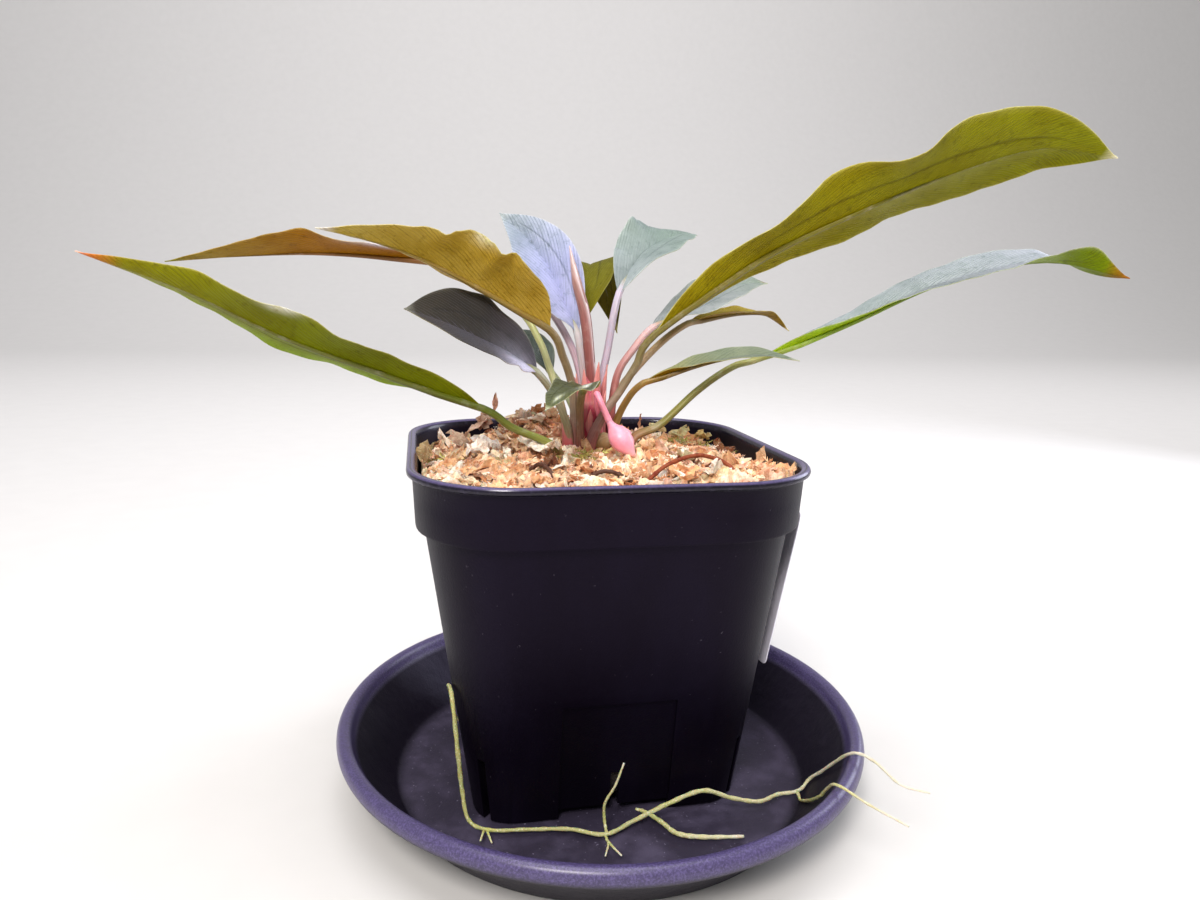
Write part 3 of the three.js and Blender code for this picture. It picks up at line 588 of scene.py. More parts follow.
class Surface:
    """Points, faces and point values that a leaf or stalk collects before it becomes a mesh"""

    def __init__(self):
        self.points = []
        self.faces = []
        self.colours = []
        self.values = {"across": [], "along": [], "share": [], "side": []}
        self.kinds = []

    def point(self, place, tint, across=0.0, along=0.0, share=0.0, side=0.0):
        """Adds a point and gives its number"""
        self.points.append(place)
        self.colours.append(tint)
        for name, value in zip(self.values, (across, along, share, side)):
            self.values[name].append(value)
        return len(self.points) - 1

    def face(self, corners, kind=0):
        """Adds a face in the material of that kind"""
        self.faces.append(corners)
        self.kinds.append(kind)

    def tube(self, rings, kind=0):
        """Faces over rings of point numbers, closed at both ends"""
        count = len(rings[0])
        for low, high in zip(rings, rings[1:]):
            for j in range(count):
                k = (j + 1) % count
                self.face((low[j], low[k], high[k], high[j]), kind)
        self.face(tuple(reversed(rings[0])), kind)
        self.face(tuple(rings[-1]), kind)

    def piece(self, name, materials):
        """Object with the points' colours and values as attributes, left selected and active"""
        made = mesh_piece(name, self.points, self.faces)
        tint = made.data.attributes.new("tint", "FLOAT_COLOR", "POINT")
        tint.data.foreach_set("color", np.array(self.colours, np.float32).ravel())
        for label_name, values in self.values.items():
            layer = made.data.attributes.new(label_name, "FLOAT", "POINT")
            layer.data.foreach_set("value", np.array(values, np.float32))
        made.data.polygons.foreach_set("material_index", np.array(self.kinds, np.int32))
        for material in materials:
            made.data.materials.append(material)
        select_only(made)
        return made


def tints(texts):
    """Colours that can be mixed and shaded"""
    return [np.array(colour(text)) for text in texts]


def shaded(tint, share):
    """Colour made darker or lighter, as opaque as before"""
    shade = tint * share
    shade[3] = 1
    return shade


def turns(count):
    """Even angles round a circle"""
    return [2 * math.pi * j / count for j in range(count)]


def eased(value, low, high):
    """Share from nought to one between two values, eased at both"""
    share = min(1, max(0, (value - low) / (high - low)))
    return share * share * (3 - 2 * share)


def moss_height(x, y):
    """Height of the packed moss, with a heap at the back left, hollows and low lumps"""
    heap = 8.4 * math.exp(-((x + 16) / 13) ** 2 - ((y - 15) / 13) ** 2)
    low = 4.5 * eased(x + 0.7 * y, 15, 60) + 5.5 * eased(0.5 * y - x, 20, 52)
    low += 3.5 * eased(x, 34, 49) * eased(y, -40, -20)
    lumpy_x = math.sin(0.32 * x + 2 * math.sin(0.16 * y))
    lumpy_y = math.sin(0.36 * y + 1.7 * math.sin(0.19 * x))
    return moss_level + heap - low + 1.2 * lumpy_x * lumpy_y


def moss_place(reach):
    """Random spot inside the pot's walls and round corners, and its height"""
    round_by = 22
    while True:
        x = random.uniform(-reach, reach)
        y = random.uniform(-reach, reach)
        beyond_x = max(0, abs(x) - reach + round_by)
        beyond_y = max(0, abs(y) - reach + round_by)
        if beyond_x ** 2 + beyond_y ** 2 < round_by ** 2:
            return x, y, moss_height(x, y)


def moss_tint(shade=1.0):
    """Random tone out of those that the moss shows"""
    names, weights = zip(*moss_tints)
    tint = np.array(colour(random.choices(names, weights)[0]))
    return shaded(tint, shade * random.uniform(0.8, 1.08))


def turned_frame(yaw, pitch, roll):
    """Directions ahead, across and up of a bit that lies at these angles"""
    turn = Matrix.Rotation(yaw, 3, "Z") @ Matrix.Rotation(-pitch, 3, "Y")
    turn = turn @ Matrix.Rotation(roll, 3, "X")
    return [column.copy() for column in turn.col]


def flake_bed(x, y):
    """Height and tint of a bed of torn flakes that overlap, each tilted its own way"""
    warp = lumps.noise_vector(Vector((0.25 * x, 0.25 * y, 3)))
    height = 0
    tilt = 0.9
    tints_here = []
    for size, layer in ((6.5, 0.0), (3.0, 7.0)):
        spot = Vector((x + 2.2 * warp.x, y + 2.2 * warp.y, 0)) / size + Vector((0, 0, layer))
        distances, centres = lumps.voronoi(spot)
        centre = centres[0]
        lean = lumps.cell_vector(centre * 37.7) - Vector((0.5, 0.5, 0.5))
        away = spot - centre
        gap = min(1, (distances[1] - distances[0]) / 0.1)
        height += size * tilt * (lean.x * away.x + lean.y * away.y) + 0.22 * size * lean.z
        height -= 0.5 * (1 - gap)
        pick = int(lumps.cell(centre * 53.3) * 997) % len(moss_tints)
        # Each flake's tint is darkened towards its edges: painted shade in the gaps between flakes.
        tints_here.append(np.array(colour(moss_tints[pick][0])) * (0.55 + 0.45 * gap))
    crease = lumps.turbulence(Vector((0.55 * x, 0.55 * y, 0)), 4, True)
    height += 1.5 * (0.5 - crease)
    tint = 0.55 * tints_here[0] + 0.45 * tints_here[1]
    # Creases are painted darker and higher spots lighter: painted shade and painted light.
    return height, shaded(tint, (1.25 - 0.6 * crease) * (1 + 0.1 * height))


def add_shred(surface, place, length, width, tint, pitch):
    """Torn scrap of a moss stem and its leaves: a cupped, curled, ragged ribbon"""
    yaw = random.uniform(0, 2 * math.pi)
    ahead, across, above = turned_frame(yaw, pitch, random.gauss(0, 0.5))
    curl = random.gauss(0, 0.9)
    twist = random.gauss(0, 0.8)
    half_thickness = 0.12
    steps = 5
    middle = place - ahead * length * 0.4
    rings = []
    for i in range(steps + 1):
        share = i / steps
        bend = curl * (share - 0.5)
        heading = ahead * math.cos(bend) + above * math.sin(bend)
        middle = middle + heading * (length / steps if i else 0)
        wide = width * (0.25 + math.sin(math.pi * min(1, 0.12 + 0.8 * share)))
        wide *= random.uniform(0.55, 1.15)
        lean = twist * share
        side = across * math.cos(lean) + above * math.sin(lean)
        top = heading.cross(side)
        cup = wide * random.uniform(0.1, 0.35)
        shade = shaded(tint, random.uniform(0.85, 1.1))
        edge = side * wide / 2
        rings.append([surface.point(place, shade) for place in (
            middle - edge, middle - top * (cup + half_thickness),
            middle + edge, middle - top * (cup - half_thickness))])
    surface.tube(rings)


def add_flake(surface, place, length, width, tint, turn, curl=1.0):
    """Crumpled, papery flake with a torn edge"""
    ahead, across, above = turn
    rows, columns = 7, 5
    half_thickness = 0.09
    bend = random.gauss(0, 0.28) * length * curl
    cup = random.uniform(-0.4, 0.4) * width * curl
    phases = [random.uniform(0, 6.3) for _ in range(4)]
    wrinkle = random.uniform(0.06, 0.14) * length
    sheets = ([], [])
    for i in range(rows + 1):
        u = 2 * i / rows - 1
        tear = [random.uniform(0.6, 1.15), random.uniform(0.6, 1.15)]
        top_row, low_row = [], []
        for j in range(columns + 1):
            v = 2 * j / columns - 1
            reach = v * (1 - 0.75 * u ** 4) * (tear[v > 0] if abs(v) == 1 else 1)
            rise = bend * u * u + cup * v * v
            crinkle = math.sin(3.1 * u + 2.2 * v + phases[0])
            crinkle *= math.sin(3.6 * v - 1.7 * u + phases[1])
            rise += wrinkle * crinkle
            rise += 0.5 * wrinkle * math.sin(7 * u + phases[2]) * math.sin(6 * v + phases[3])
            skew = 0.2 * math.sin(3 * v + phases[1])
            spot = place + ahead * (u + skew) * length / 2
            spot += across * reach * width / 2 + above * rise
            shade = shaded(tint, 0.86 + 0.16 * abs(v) + 0.1 * random.uniform(-1, 1))
            top_row.append(surface.point(spot + above * half_thickness, shade))
            low_row.append(surface.point(spot - above * half_thickness, shade))
        sheets[0].append(top_row)
        sheets[1].append(low_row)
    top, low = sheets
    for i in range(rows):
        for j in range(columns):
            surface.face((top[i][j], top[i + 1][j], top[i + 1][j + 1], top[i][j + 1]))
            surface.face((low[i][j], low[i][j + 1], low[i + 1][j + 1], low[i + 1][j]))
        surface.face((top[i][0], low[i][0], low[i + 1][0], top[i + 1][0]))
        surface.face((top[i][columns], top[i + 1][columns], low[i + 1][columns], low[i][columns]))
    for j in range(columns):
        surface.face((top[0][j], top[0][j + 1], low[0][j + 1], low[0][j]))
        surface.face((top[rows][j], low[rows][j], low[rows][j + 1], top[rows][j + 1]))


def add_fibre(surface, place, length, radius, tint, pitch):
    """Thin bent stem"""
    ahead, across, above = turned_frame(random.uniform(0, 2 * math.pi), pitch, 0)
    bend_flat, bend_up = random.gauss(0, 1.0), random.gauss(-0.3, 0.6)
    sides, steps = 3, 9
    middle = Vector(place)
    rings = []
    for i in range(steps + 1):
        share = i / steps
        heading = ahead + across * bend_flat * (share - 0.3) + above * bend_up * share * share
        heading.normalize()
        side = heading.cross(above).normalized()
        top = side.cross(heading)
        middle = middle + heading * (length / steps if i else 0)
        thin = radius * (1 - 0.6 * share)
        ring = []
        for angle in turns(sides):
            outward = side * thin * math.cos(angle) + top * thin * math.sin(angle)
            ring.append(surface.point(middle + outward, tint))
        rings.append(ring)
    surface.tube(rings)


def add_sprig(surface, place, length, tint, pitch):
    """Branch of moss with small pointed leaves all along it"""
    ahead, across, above = turned_frame(random.uniform(0, 2 * math.pi), pitch, 0)
    bend = random.gauss(0, 0.5)
    middle = Vector(place)
    leaflets = 14
    spiral = 2.4
    for i in range(leaflets):
        share = i / leaflets
        heading = (ahead + across * bend * share).normalized()
        middle = middle + heading * length / leaflets
        angle = spiral * i
        side = (across * math.cos(angle) + above * math.sin(angle)).normalized()
        size = 1.3 * (1.1 - share) * random.uniform(0.7, 1.2)
        tip = middle + side * size + heading * size * 0.9
        flat = heading.cross(side).normalized() * size * 0.32
        shade = shaded(tint, random.uniform(0.85, 1.12))
        root = [surface.point(middle + flat, shade), surface.point(middle - flat, shade),
                surface.point(middle + side * size * 0.3 - heading * 0.25, shade)]
        end = surface.point(tip, shade)
        surface.face((root[0], root[1], root[2]))
        for j in range(3):
            surface.face((root[j], end, root[(j + 1) % 3]))


def add_crumb(surface, place, size, tint):
    """Small lump with uneven faces"""
    rings = []
    lean = random.uniform(0, math.pi)
    for low, share in ((-0.8, 0.45), (-0.2, 1.0), (0.45, 0.8), (0.9, 0.3)):
        ring = []
        for turn in turns(5):
            angle = lean + turn + 0.3 * low
            far = size * share * random.uniform(0.6, 1.25)
            down = low * size * random.uniform(0.6, 1)
            shift = Vector((far * math.cos(angle), far * math.sin(angle), down))
            ring.append(surface.point(place + shift, tint))
        rings.append(ring)
    surface.tube(rings)


moss_finish, tree, shader = new_material("moss", {
    "Specular IOR Level": 0.25, "Subsurface Weight": 0.15, "Subsurface Scale": 0.0015,
    "Sheen Weight": 0.15})
place = object_place(tree)
mottle = noise(tree, place, 0.0022, 4.0, 0.7)
drawn_out = Wire.node(tree, "ShaderNodeMapping", None, {"Vector": place, "Scale": (1, 0.25, 1)})
threads = noise(tree, drawn_out, 0.0004, 3.0, 0.7)
tone = stained(tree, 0.75 * mottle.above(0.42, 0.68), point_tint(tree), colour("#b98a68"))
paler = blended(tree, 0.5, tone, colour("#fff1d8"))
tone = blended(tree, 0.5 * threads.above(0.5, 0.75), tone, paler)
feed(tree, shader, {
    "Base Color": tone,
    "Roughness": 0.7 + 0.2 * threads,
    "Normal": bumped(tree, threads + 0.5 * mottle, 0.0003)})

body = Surface()
painted_foot_shade, deep_tint = tints(("#1d130c", "#a8784c"))
# The body's foot and its sides below 60 mm are painted near black: painted shade where they show
# through the slits.
sections = [(68, 8, moss_body_bottom, painted_foot_shade)]
for thick, heights in ((low_wall, (moss_body_bottom, 20, 38.6)), (wall, (42.4, 60, 79))):
    for z in heights:
        width = at_height(body_width, z) - 2 * thick - 2 * moss_gap
        corner = at_height(body_corner, z) - thick - moss_gap
        sections.append((width, corner, z, deep_tint * (0.08 if z < 60 else 1)))
sections.append((97.6, 24.5, 83.4, deep_tint))
body.tube([[body.point(point, tint) for point in square_ring(width, corner, z, ring_steps)]
           for width, corner, z, tint in sections])
straight = cover_half_width - cover_corner
cover = []
for i in range(cover_cells + 1):
    row = []
    for j in range(cover_cells + 1):
        across, along = 2 * i / cover_cells - 1, 2 * j / cover_cells - 1
        share = max(abs(across), abs(along))
        longer, shorter = share or 1, min(abs(across), abs(along))
        slope = shorter / longer
        far = cover_half_width
        if slope * far > straight:
            part = straight * (1 + slope)
            steep = 1 + slope * slope
            square = part ** 2 - steep * (2 * straight ** 2 - cover_corner ** 2)
            far = (part + math.sqrt(square)) / steep
        x, y = across * far, along * far
        rise, tint = flake_bed(x, y)
        row.append(body.point((x, y, moss_height(x, y) + rise), tint))
    cover.append(row)
for i in range(cover_cells):
    for j in range(cover_cells):
        body.face((cover[i][j], cover[i + 1][j], cover[i + 1][j + 1], cover[i][j + 1]))
border = cover[0][:-1] + [row[-1] for row in cover[:-1]]
border += cover[-1][:0:-1] + [row[0] for row in cover[:0:-1]]
low_border = [body.point((*body.points[k][:2], cover_underside), deep_tint) for k in border]
for k in range(len(border)):
    after = (k + 1) % len(border)
    body.face((border[k], border[after], low_border[after], low_border[k]))
body.face(tuple(low_border))
moss_body = body.piece("moss_packed", [moss_finish])
bpy.ops.object.shade_smooth()

loose = Surface()
for i in range(flake_count):
    x, y, z = moss_place(44.5)
    size = random.uniform(0.45, 1) ** 1.5
    yaw = random.uniform(0, 2 * math.pi)
    turn = turned_frame(yaw, random.gauss(0, 0.3), random.gauss(0, 0.3))
    place = Vector((x, y, z + random.uniform(-0.4, 1.0)))
    under_spathe = abs(x - 6) <= 8 and abs(y + 19) <= 7
    if not under_spathe:
        add_flake(loose, place, 2 + 6 * size, 1.8 + 4 * size, moss_tint(), turn)
for place, length, width, tint, angles in laid_flakes:
    turn = turned_frame(*[math.radians(angle) for angle in angles])
    add_flake(loose, Vector(place), length, width, np.array(colour(tint)), turn, 0.35)
for i in range(shred_count):
    x, y, z = moss_place(47.5)
    size = random.uniform(0.6, 1) ** 2
    pitch = random.gauss(0, 0.3)
    longest = 3 if max(abs(x), abs(y)) > 43 else 7
    place = Vector((x, y, z + random.uniform(-0.6, 0.9)))
    add_shred(loose, place, longest * size + 1.2, 1.6 * size + 0.3, moss_tint(), pitch)
shreds = loose.piece("moss_shreds", [moss_finish])
small = Surface()
for i in range(sprig_count):
    x, y, z = moss_place(45)
    place = Vector((x, y, z + random.uniform(0, 1.2)))
    add_sprig(small, place, random.uniform(3, 7), moss_tint(1.05), random.gauss(0.1, 0.25))
for x, y in green_sprigs:
    for i in range(sprigs_per_clump):
        place = Vector((x + random.gauss(0, 3), y + random.gauss(0, 2), 0))
        place.z = moss_height(place.x, place.y) + random.uniform(0.3, 1.5)
        tint = np.array(colour("#b8b45c")) * random.uniform(0.8, 1.1)
        add_sprig(small, place, random.uniform(4, 7), tint, random.gauss(0.2, 0.25))
for i in range(fibre_count):
    x, y, z = moss_place(42)
    place = Vector((x, y, z + random.uniform(0, 1)))
    add_fibre(small, place, random.uniform(5, 12), random.uniform(0.12, 0.3),
              moss_tint(0.9), random.gauss(0, 0.12))
for i in range(crumb_count):
    x, y, z = moss_place(47)
    place = Vector((x, y, z + random.uniform(-0.2, 0.9)))
    add_crumb(small, place, random.uniform(0.3, 0.9), moss_tint())
bits = small.piece("moss_bits", [moss_finish])
for piece in (moss_body, shreds, bits):
    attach(piece, "root")
    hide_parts("moss")


# Leaves: each blade grew as one piece with its stalk. The upper side is silvery with sunken veins,
# the lower side olive to gold with a raised midrib, and the stalk is channelled and widens at its
# foot into a clasping base.
crown_middle = Vector((-0.5, -4, 0))
ring_radius = 5.2
ring_slots = 12
ring_start = -95.0
stalk_foot = 90.0
stalk_straight = 11
blade_rows = 64
half_columns = (0.1, 0.22, 0.38, 0.55, 0.72, 0.86, 0.96, 1)
blade_columns = [-share for share in half_columns[::-1]] + [0] + list(half_columns)
blade_thickness = 0.36
blade_ripple = 0.15
upper_channel = 0.32
lower_channel = 0.1
stalk_radius = 1.2
stalk_clasp = 0.8
stalk_steps = 56
stalk_sides = 12
stalk_pattern = 60
vein_spacing = 2.2
vein_slant = 2.4
vein_depth = 0.05
# Each leaf: where its stalk stands (foot, place or a slot of the ring), the points up the stalk and
# on along the midrib, the greatest half width and the share of the length at which it lies, which
# way the upper side looks from base to tip, how steeply its halves fold up, how its right and left
# edges wave, and its tones from base to tip. A patch gives its share, its side, its two reaches and
# its tone.
leaves = [
    dict(
        name="leaf_left_low", foot=(-12, -12), half=9.5, widest=0.45,
        stalk=[(-13, -12, 98), (-25, -14, 104), (-33, -16, 109.5)],
        rib=[(-57, -19, 118.8), (-79, -22, 127.2), (-100, -26, 138), (-121, -28, 146)],
        faces=[(0, 0.5, 0.87), (0, 0.5, 0.87), (0, 0.3, 0.95)], fold=(12, 10, 8),
        right=[0, 0.5, -0.5, 0.5, -0.5, 0.5, 0, 0, 0],
        left=[0, 0.8, -0.3, -1.4, 0.8, -0.4, 1.8, 1, 0],
        upper=("#9aa590", "#a3ad98", "#b5a890"),
        lower=("#6c7608", "#6e7406", "#8a860c"),
        stalk_colours=("#8a9145", "#64741a"), tip="#d8643a",
        margin="#a8a25c",
        # Its second patch paints the half that faces down a brighter yellow-green: painted light.
        patches=[(0.55, -1, 0.04, 0.16, "#e2e2da"), (0.3, 1, 0.5, 0.5, "#8cac0a"),
                 (1, 0, 0.012, 2, "#efd9d2")],
        tip_from=0.9,
    ),
    dict(
        name="leaf_left_high_rear", foot=(-8.4, -4.6), half=10, widest=0.5,
        stalk=[(-8.8, -4.8, 101), (-10.6, -3.4, 110), (-13.2, 0, 119), (-15.5, 4, 126),
               (-21, 8, 134.4), (-37, 14.5, 145.8)],
        rib=[(-57, 21, 148.4), (-78, 28, 149), (-99, 33, 147.6), (-120, 35, 145.5)],
        faces=[(0, 0.2, 1), (0, 0.15, 1), (0, 0.1, 1)], fold=(20, 15, 8),
        right=[0, 0, 0.6, -0.4, 0.4, 0, 0, 0, 0],
        left=[0, 0.4, -0.6, -0.8, 2.2, 1.4, 0.8, 0.4, 0],
        upper=("#a8ab98", "#a9a796", "#a8a08a"),
        lower=("#9c6210", "#a06c0c", "#8c7c14"),
        stalk_colours=("#a9a877", "#b6bc74"), tip="#86861c",
        margin="#b99a60",
        patches=[(0.22, -0.95, 0.1, 0.2, "#e4e0f4")],
    ),
    dict(
        name="leaf_left_high_front", foot=(-7.2, -7.2), half=12.5, widest=0.26,
        stalk=[(-7.4, -7.6, 100), (-7.6, -9, 107), (-8.6, -10.4, 115), (-11.4, -12.4, 122.5),
               (-15.8, -14.6, 130)],
        rib=[(-32, -18.6, 139.5), (-47, -23, 146.5), (-60, -28, 150.5), (-71, -31, 152.5)],
        faces=[(-0.2, 0.35, 0.9), (0, 0.3, 0.95), (0, 0.2, 1)], fold=(28, 22, 10),
        right=[0, 0.5, 0, -0.5, 0, 0.5, 0, 0, 0],
        left=[0, 0.7, 1.2, 0.8, 0.2, 0.3, 1, -1, 0.9, 1.7, 1.9, 0.9, -1, -0.2, 0.2,
              0, 0, 0, 0, 0, 0, 0, 0, 0, 0],
        upper=("#a5a794", "#aeb0a0", "#d8d6cf"),
        lower=("#b0923a", "#b4983e", "#b4a04a"),
        stalk_colours=("#8c7a68", "#7c6838"), tip="#dfdcea",
        tip_from=0.9,
        margin="#c4b47c",
        # Its first patch, a white spot at a notch in its edge, is a painted highlight; its second
        # is its pale tip.
        patches=[(0.36, -1, 0.035, 0.14, "#ece8dc"), (1, 0, 0.03, 2, "#ece6d4")],
    ),
    dict(
        name="leaf_left_mid", foot=(-8, -6.6), half=12.5, widest=0.6,
        stalk=[(-8.6, -8.2, 100), (-10.4, -10.6, 106), (-13.4, -13, 112), (-19, -17, 119)],
        rib=[(-26, -19, 124), (-34, -22, 128), (-43, -26, 132), (-52, -30, 135)],
        faces=[(0, -0.6, 0.8), (0, -0.6, 0.8), (0, -0.5, 0.85)], fold=(20, 20, 10),
        right=[0, 0.5, 0.5, 0, 0.6, 0, 0, 0, 0],
        left=[0, -0.8, 0.6, -0.4, 0.5, 0, 0, 0, 0],
        # Its dark upper tones are a painted shadow, cast by the leaf above it.
        upper=("#4c4652", "#2a2520", "#38332a"),
        lower=("#8c8c52", "#92905a", "#8f8a60"),
        stalk_colours=("#8f8c6c", "#9a9a80"), tip="#8a877c",
        margin="#a8a498",
        # Its first patch is painted shade over one half towards the tip; its lilac patch near the
        # base is painted light.
        patches=[(0.62, -0.9, 0.24, 0.6, "#1a1610"), (0.15, -0.7, 0.17, 0.6, "#e8e2ff")],
    ),
    dict(
        name="leaf_left_short", slot=8, half=5.2, widest=0.5,
        stalk=[(-5.6, 1.2, 106), (-7.8, 5.4, 111.5), (-11, 9, 116)],
        rib=[(-14.4, 14, 122), (-19, 24, 126), (-26, 34, 126)],
        faces=[(0, -0.6, 0.8), (0, -0.5, 0.85), (0, 0.2, 1)], fold=(20, 15, 5),
        right=[0, 0.5, -0.5, 0.4, 0],
        left=[0, -0.5, 0.6, 0, 0],
        upper=("#465248", "#3e4a40", "#465248"),
        lower=("#8d9a50", "#8f9c55", "#8f9a5a"),
        stalk_colours=("#8f9468", "#98a078"), tip="#a0a890",
    ),
    dict(
        name="leaf_rear_hidden", slot=7, half=9, widest=0.45,
        stalk=[(-3, 4, 113), (-5, 9, 123), (-10, 16, 133)],
        rib=[(-15, 30, 140), (-21, 47, 145), (-28, 63, 147), (-36, 78, 145)],
        faces=[(0, -0.5, 0.85), (0, -0.2, 1), (0, 0.2, 1)], fold=(20, 14, 6),
        right=[0, 1, -0.8, 1, -0.6, 0.5, 0],
        left=[0, -0.6, 1, -0.8, 0.8, 0, 0],
        upper=("#9fa89a", "#9aa496", "#a0a590"),
        lower=("#93943e", "#999a40", "#a3a048"),
        stalk_colours=("#b38f9c", "#b09aa6"), tip="#a88a50",
    ),
    dict(
        name="leaf_centre_upright", place=(-2, -3), half=9.4, widest=0.56,
        stalk=[(-3, -2, 111), (-5, 2, 128)],
        rib=[(-8, 5, 136), (-12, 8, 145.4), (-18, 11, 154), (-26, 13, 161)],
        faces=[(-0.1, -0.9, 0.3), (-0.1, -0.9, 0.3), (0, -0.85, 0.45)], fold=(30, 26, 15),
        right=[0, 0.4, -0.4, 0.5, 0, 0, 0],
        left=[0, -0.4, 0.5, 0, 0.3, 0, 0],
        upper=("#b6b6dc", "#a8acd4", "#96a2a8"),
        lower=("#a0a26a", "#9ea468", "#a3a874"),
        stalk_colours=("#b07c80", "#b6b0b2"), tip="#c4c8cc",
        margin="#d8d8e0",
    ),
    dict(
        name="leaf_rear_drooping", slot=6, half=9.6, widest=0.42,
        stalk=[(0, 6, 114), (-1, 10, 132)],
        rib=[(0, 18, 142), (4, 30, 148), (11, 40, 141), (17, 47, 126)],
        faces=[(0, -0.85, 0.5), (-0.1, -0.1, 1), (0.3, 0.9, 0.3)], fold=(20, 12, 5),
        right=[0, 0.5, 0.7, 0.5, 0.3, 0.1, 0],
        left=[0, 0.4, 0.6, 0.4, 0.2, 0, 0],
        upper=("#6c6a12", "#5a5810", "#504e12"), golden=True,
        lower=("#5c5a0c", "#4a480c", "#5a5618"),
        stalk_colours=("#9a9a58", "#a0a258"), tip="#c9cba0",
        margin="#a0a060",
    ),
    dict(
        name="leaf_front_small", foot=(-5.6, -8.8), half=5.2, widest=0.45,
        stalk=[(-5.8, -9.2, 100), (-6.2, -10.2, 108), (-6.4, -14, 113.2)],
        rib=[(-7, -20, 115.6), (-11, -27, 116.2), (-16, -34, 115), (-20, -39.5, 112.2)],
        faces=[(0, -0.2, 1), (0, -0.1, 1), (0, -0.4, 0.9)], fold=(15, 8, 4),
        right=[0, 0.8, -1.2, 1, -0.8, 0.4, 0],
        left=[0, -0.8, 1.2, -1, 1, 0, 0],
        upper=("#5e5838", "#4a4e3c", "#5a624c"), golden=True,
        lower=("#8c9a48", "#92a04c", "#9aa050"),
        stalk_colours=("#8c6450", "#8c7c50"), tip="#c0c6b0",
        # Its two whitish patches are painted highlights, glints on its folds.
        patches=[(0.45, -0.5, 0.1, 0.12, "#dfe4dc"), (0.8, -0.2, 0.06, 0.2, "#c8d0c4")],
        margin="#d4d8cc",
    ),
    dict(
        name="leaf_right_centre", place=(1.4, -2.8), half=10, widest=0.4,
        stalk=[(2, 1, 114), (4, 3, 123), (7.6, 5.7, 139.4)],
        rib=[(16, 16, 150.4), (25, 26, 155.5), (34, 35, 158.5), (43, 44, 159)],
        faces=[(-0.3, -0.8, 0.6), (-0.3, -0.8, 0.6), (-0.2, -0.5, 0.8)], fold=(25, 20, 10),
        right=[0, 0.6, -1, 0.8, -0.4, 0, 0],
        left=[0, 1, 0.5, -2.2, -0.8, 2, 0.4, -2, -2.8, -2.4, -1.4, -0.4, 0],
        upper=("#90989a", "#74857a", "#6c806c"),
        lower=("#98a05a", "#9aa45c", "#a8b07c"),
        stalk_colours=("#a88e9c", "#b4acbc"), tip="#d8dedc",
        margin="#c8d0c8",
    ),
    dict(
        name="leaf_right_drooping", slot=5, half=3.8, widest=0.45,
        stalk=[(4.6, 2.2, 107), (11, 6, 115), (22, 11, 125), (32, 15, 131)],
        rib=[(42, 20, 133), (54, 26, 134), (65, 32, 133), (75, 37, 128)],
        faces=[(0, -0.3, 0.95), (0, -0.1, 1), (0, 0.2, 1)], fold=(25, 20, 10),
        right=[0, 0.5, -0.4, 0.4, 0],
        left=[0, -0.4, 0.5, 0, 0],
        upper=("#b8a22c", "#b09a2c", "#a08a24"), golden=True,
        lower=("#94720e", "#947812", "#8a6c14"),
        stalk_colours=("#ad8f6a", "#b0966a"), tip="#e0d2a0",
        margin="#b8a870",
    ),
    dict(
        name="leaf_right_broad", slot=4, half=8.4, widest=0.48,
        stalk=[(6, -1, 116), (11, 0, 124), (17, 2, 130)],
        rib=[(28, 8, 135), (39, 14, 139.5), (50, 20, 143), (61, 25, 143.6)],
        faces=[(-0.3, -0.6, 0.75), (-0.2, -0.6, 0.75), (0, -0.4, 0.9)], fold=(20, 15, 10),
        right=[0, 0.6, -0.8, 0.6, 0, 0, 0],
        left=[0, -2.4, -2.6, -1, 0.6, 0.8, 0],
        upper=("#888c8c", "#828886", "#768470"),
        lower=("#a0a04c", "#a0a450", "#a6ac60"),
        stalk_colours=("#a05c54", "#c4a6a4"), tip="#a8b48a",
        margin="#ccd0c8",
        patches=[(0.98, -0.6, 0.03, 0.6, "#7c5c30")],
    ),
    dict(
        name="leaf_right_low_narrow", slot=3, half=3.9, widest=0.5,
        stalk=[(8, -4.5, 109.5), (13, -5, 115)],
        rib=[(23, -7, 119), (34, -9, 122), (45, -11, 123.5), (56, -13, 122)],
        faces=[(0, 0.1, 1), (0, -0.35, 0.9), (0, -0.4, 0.9)], fold=(22, 16, 12),
        right=[0, 0.4, 0, 0.4, 0, 0, 0],
        left=[0, 0, 0.4, 0, 0.3, 0, 0],
        upper=("#8a8434", "#7c8668", "#808c78"),
        lower=("#94740e", "#92801a", "#8c8424"),
        stalk_colours=("#9c7a38", "#a8863c"), tip="#dcdcc8",
        margin="#c4c8a0",
    ),
    dict(
        name="leaf_right_high", foot=(-4, -8.6), half=16, widest=0.6,
        stalk=[(-2.6, -9.4, 99.5), (0.8, -10.2, 107.2), (4.6, -10.5, 112.8), (9, -11, 120.2),
               (14, -12, 129)],
        rib=[(40, -16, 149), (66, -22, 162.5), (89, -27, 172.5), (110, -33, 179), (129, -38, 177)],
        faces=[(-0.1, 0.45, 0.89), (-0.1, 0.45, 0.89), (0.1, 0.4, 0.9)], fold=(18, 13, 8),
        right=[0, 1.5, -1.2, 3.2, -2.8, 2, 2.2, 0.6, 0],
        left=[0, -1.6, -3.2, -4.2, -2.6, -3.2, -3.2, -1.6, 0],
        upper=("#a8ac88", "#a5aa8c", "#b0b490"),
        lower=("#8f8208", "#8a8608", "#868a08"),
        stalk_colours=("#8c7668", "#6e6420"), tip="#ece6cc",
        margin="#c8c07c",
        tip_from=0.955,
    ),
    dict(
        name="leaf_right_low_long", foot=(11, 1), half=9.8, widest=0.6,
        stalk=[(12, 1, 98), (20, 1, 102), (31, 1, 112), (41, 0, 119), (50, -1, 122)],
        rib=[(75, -5.5, 133), (100, -12, 145), (126, -19, 151), (149, -26, 147)],
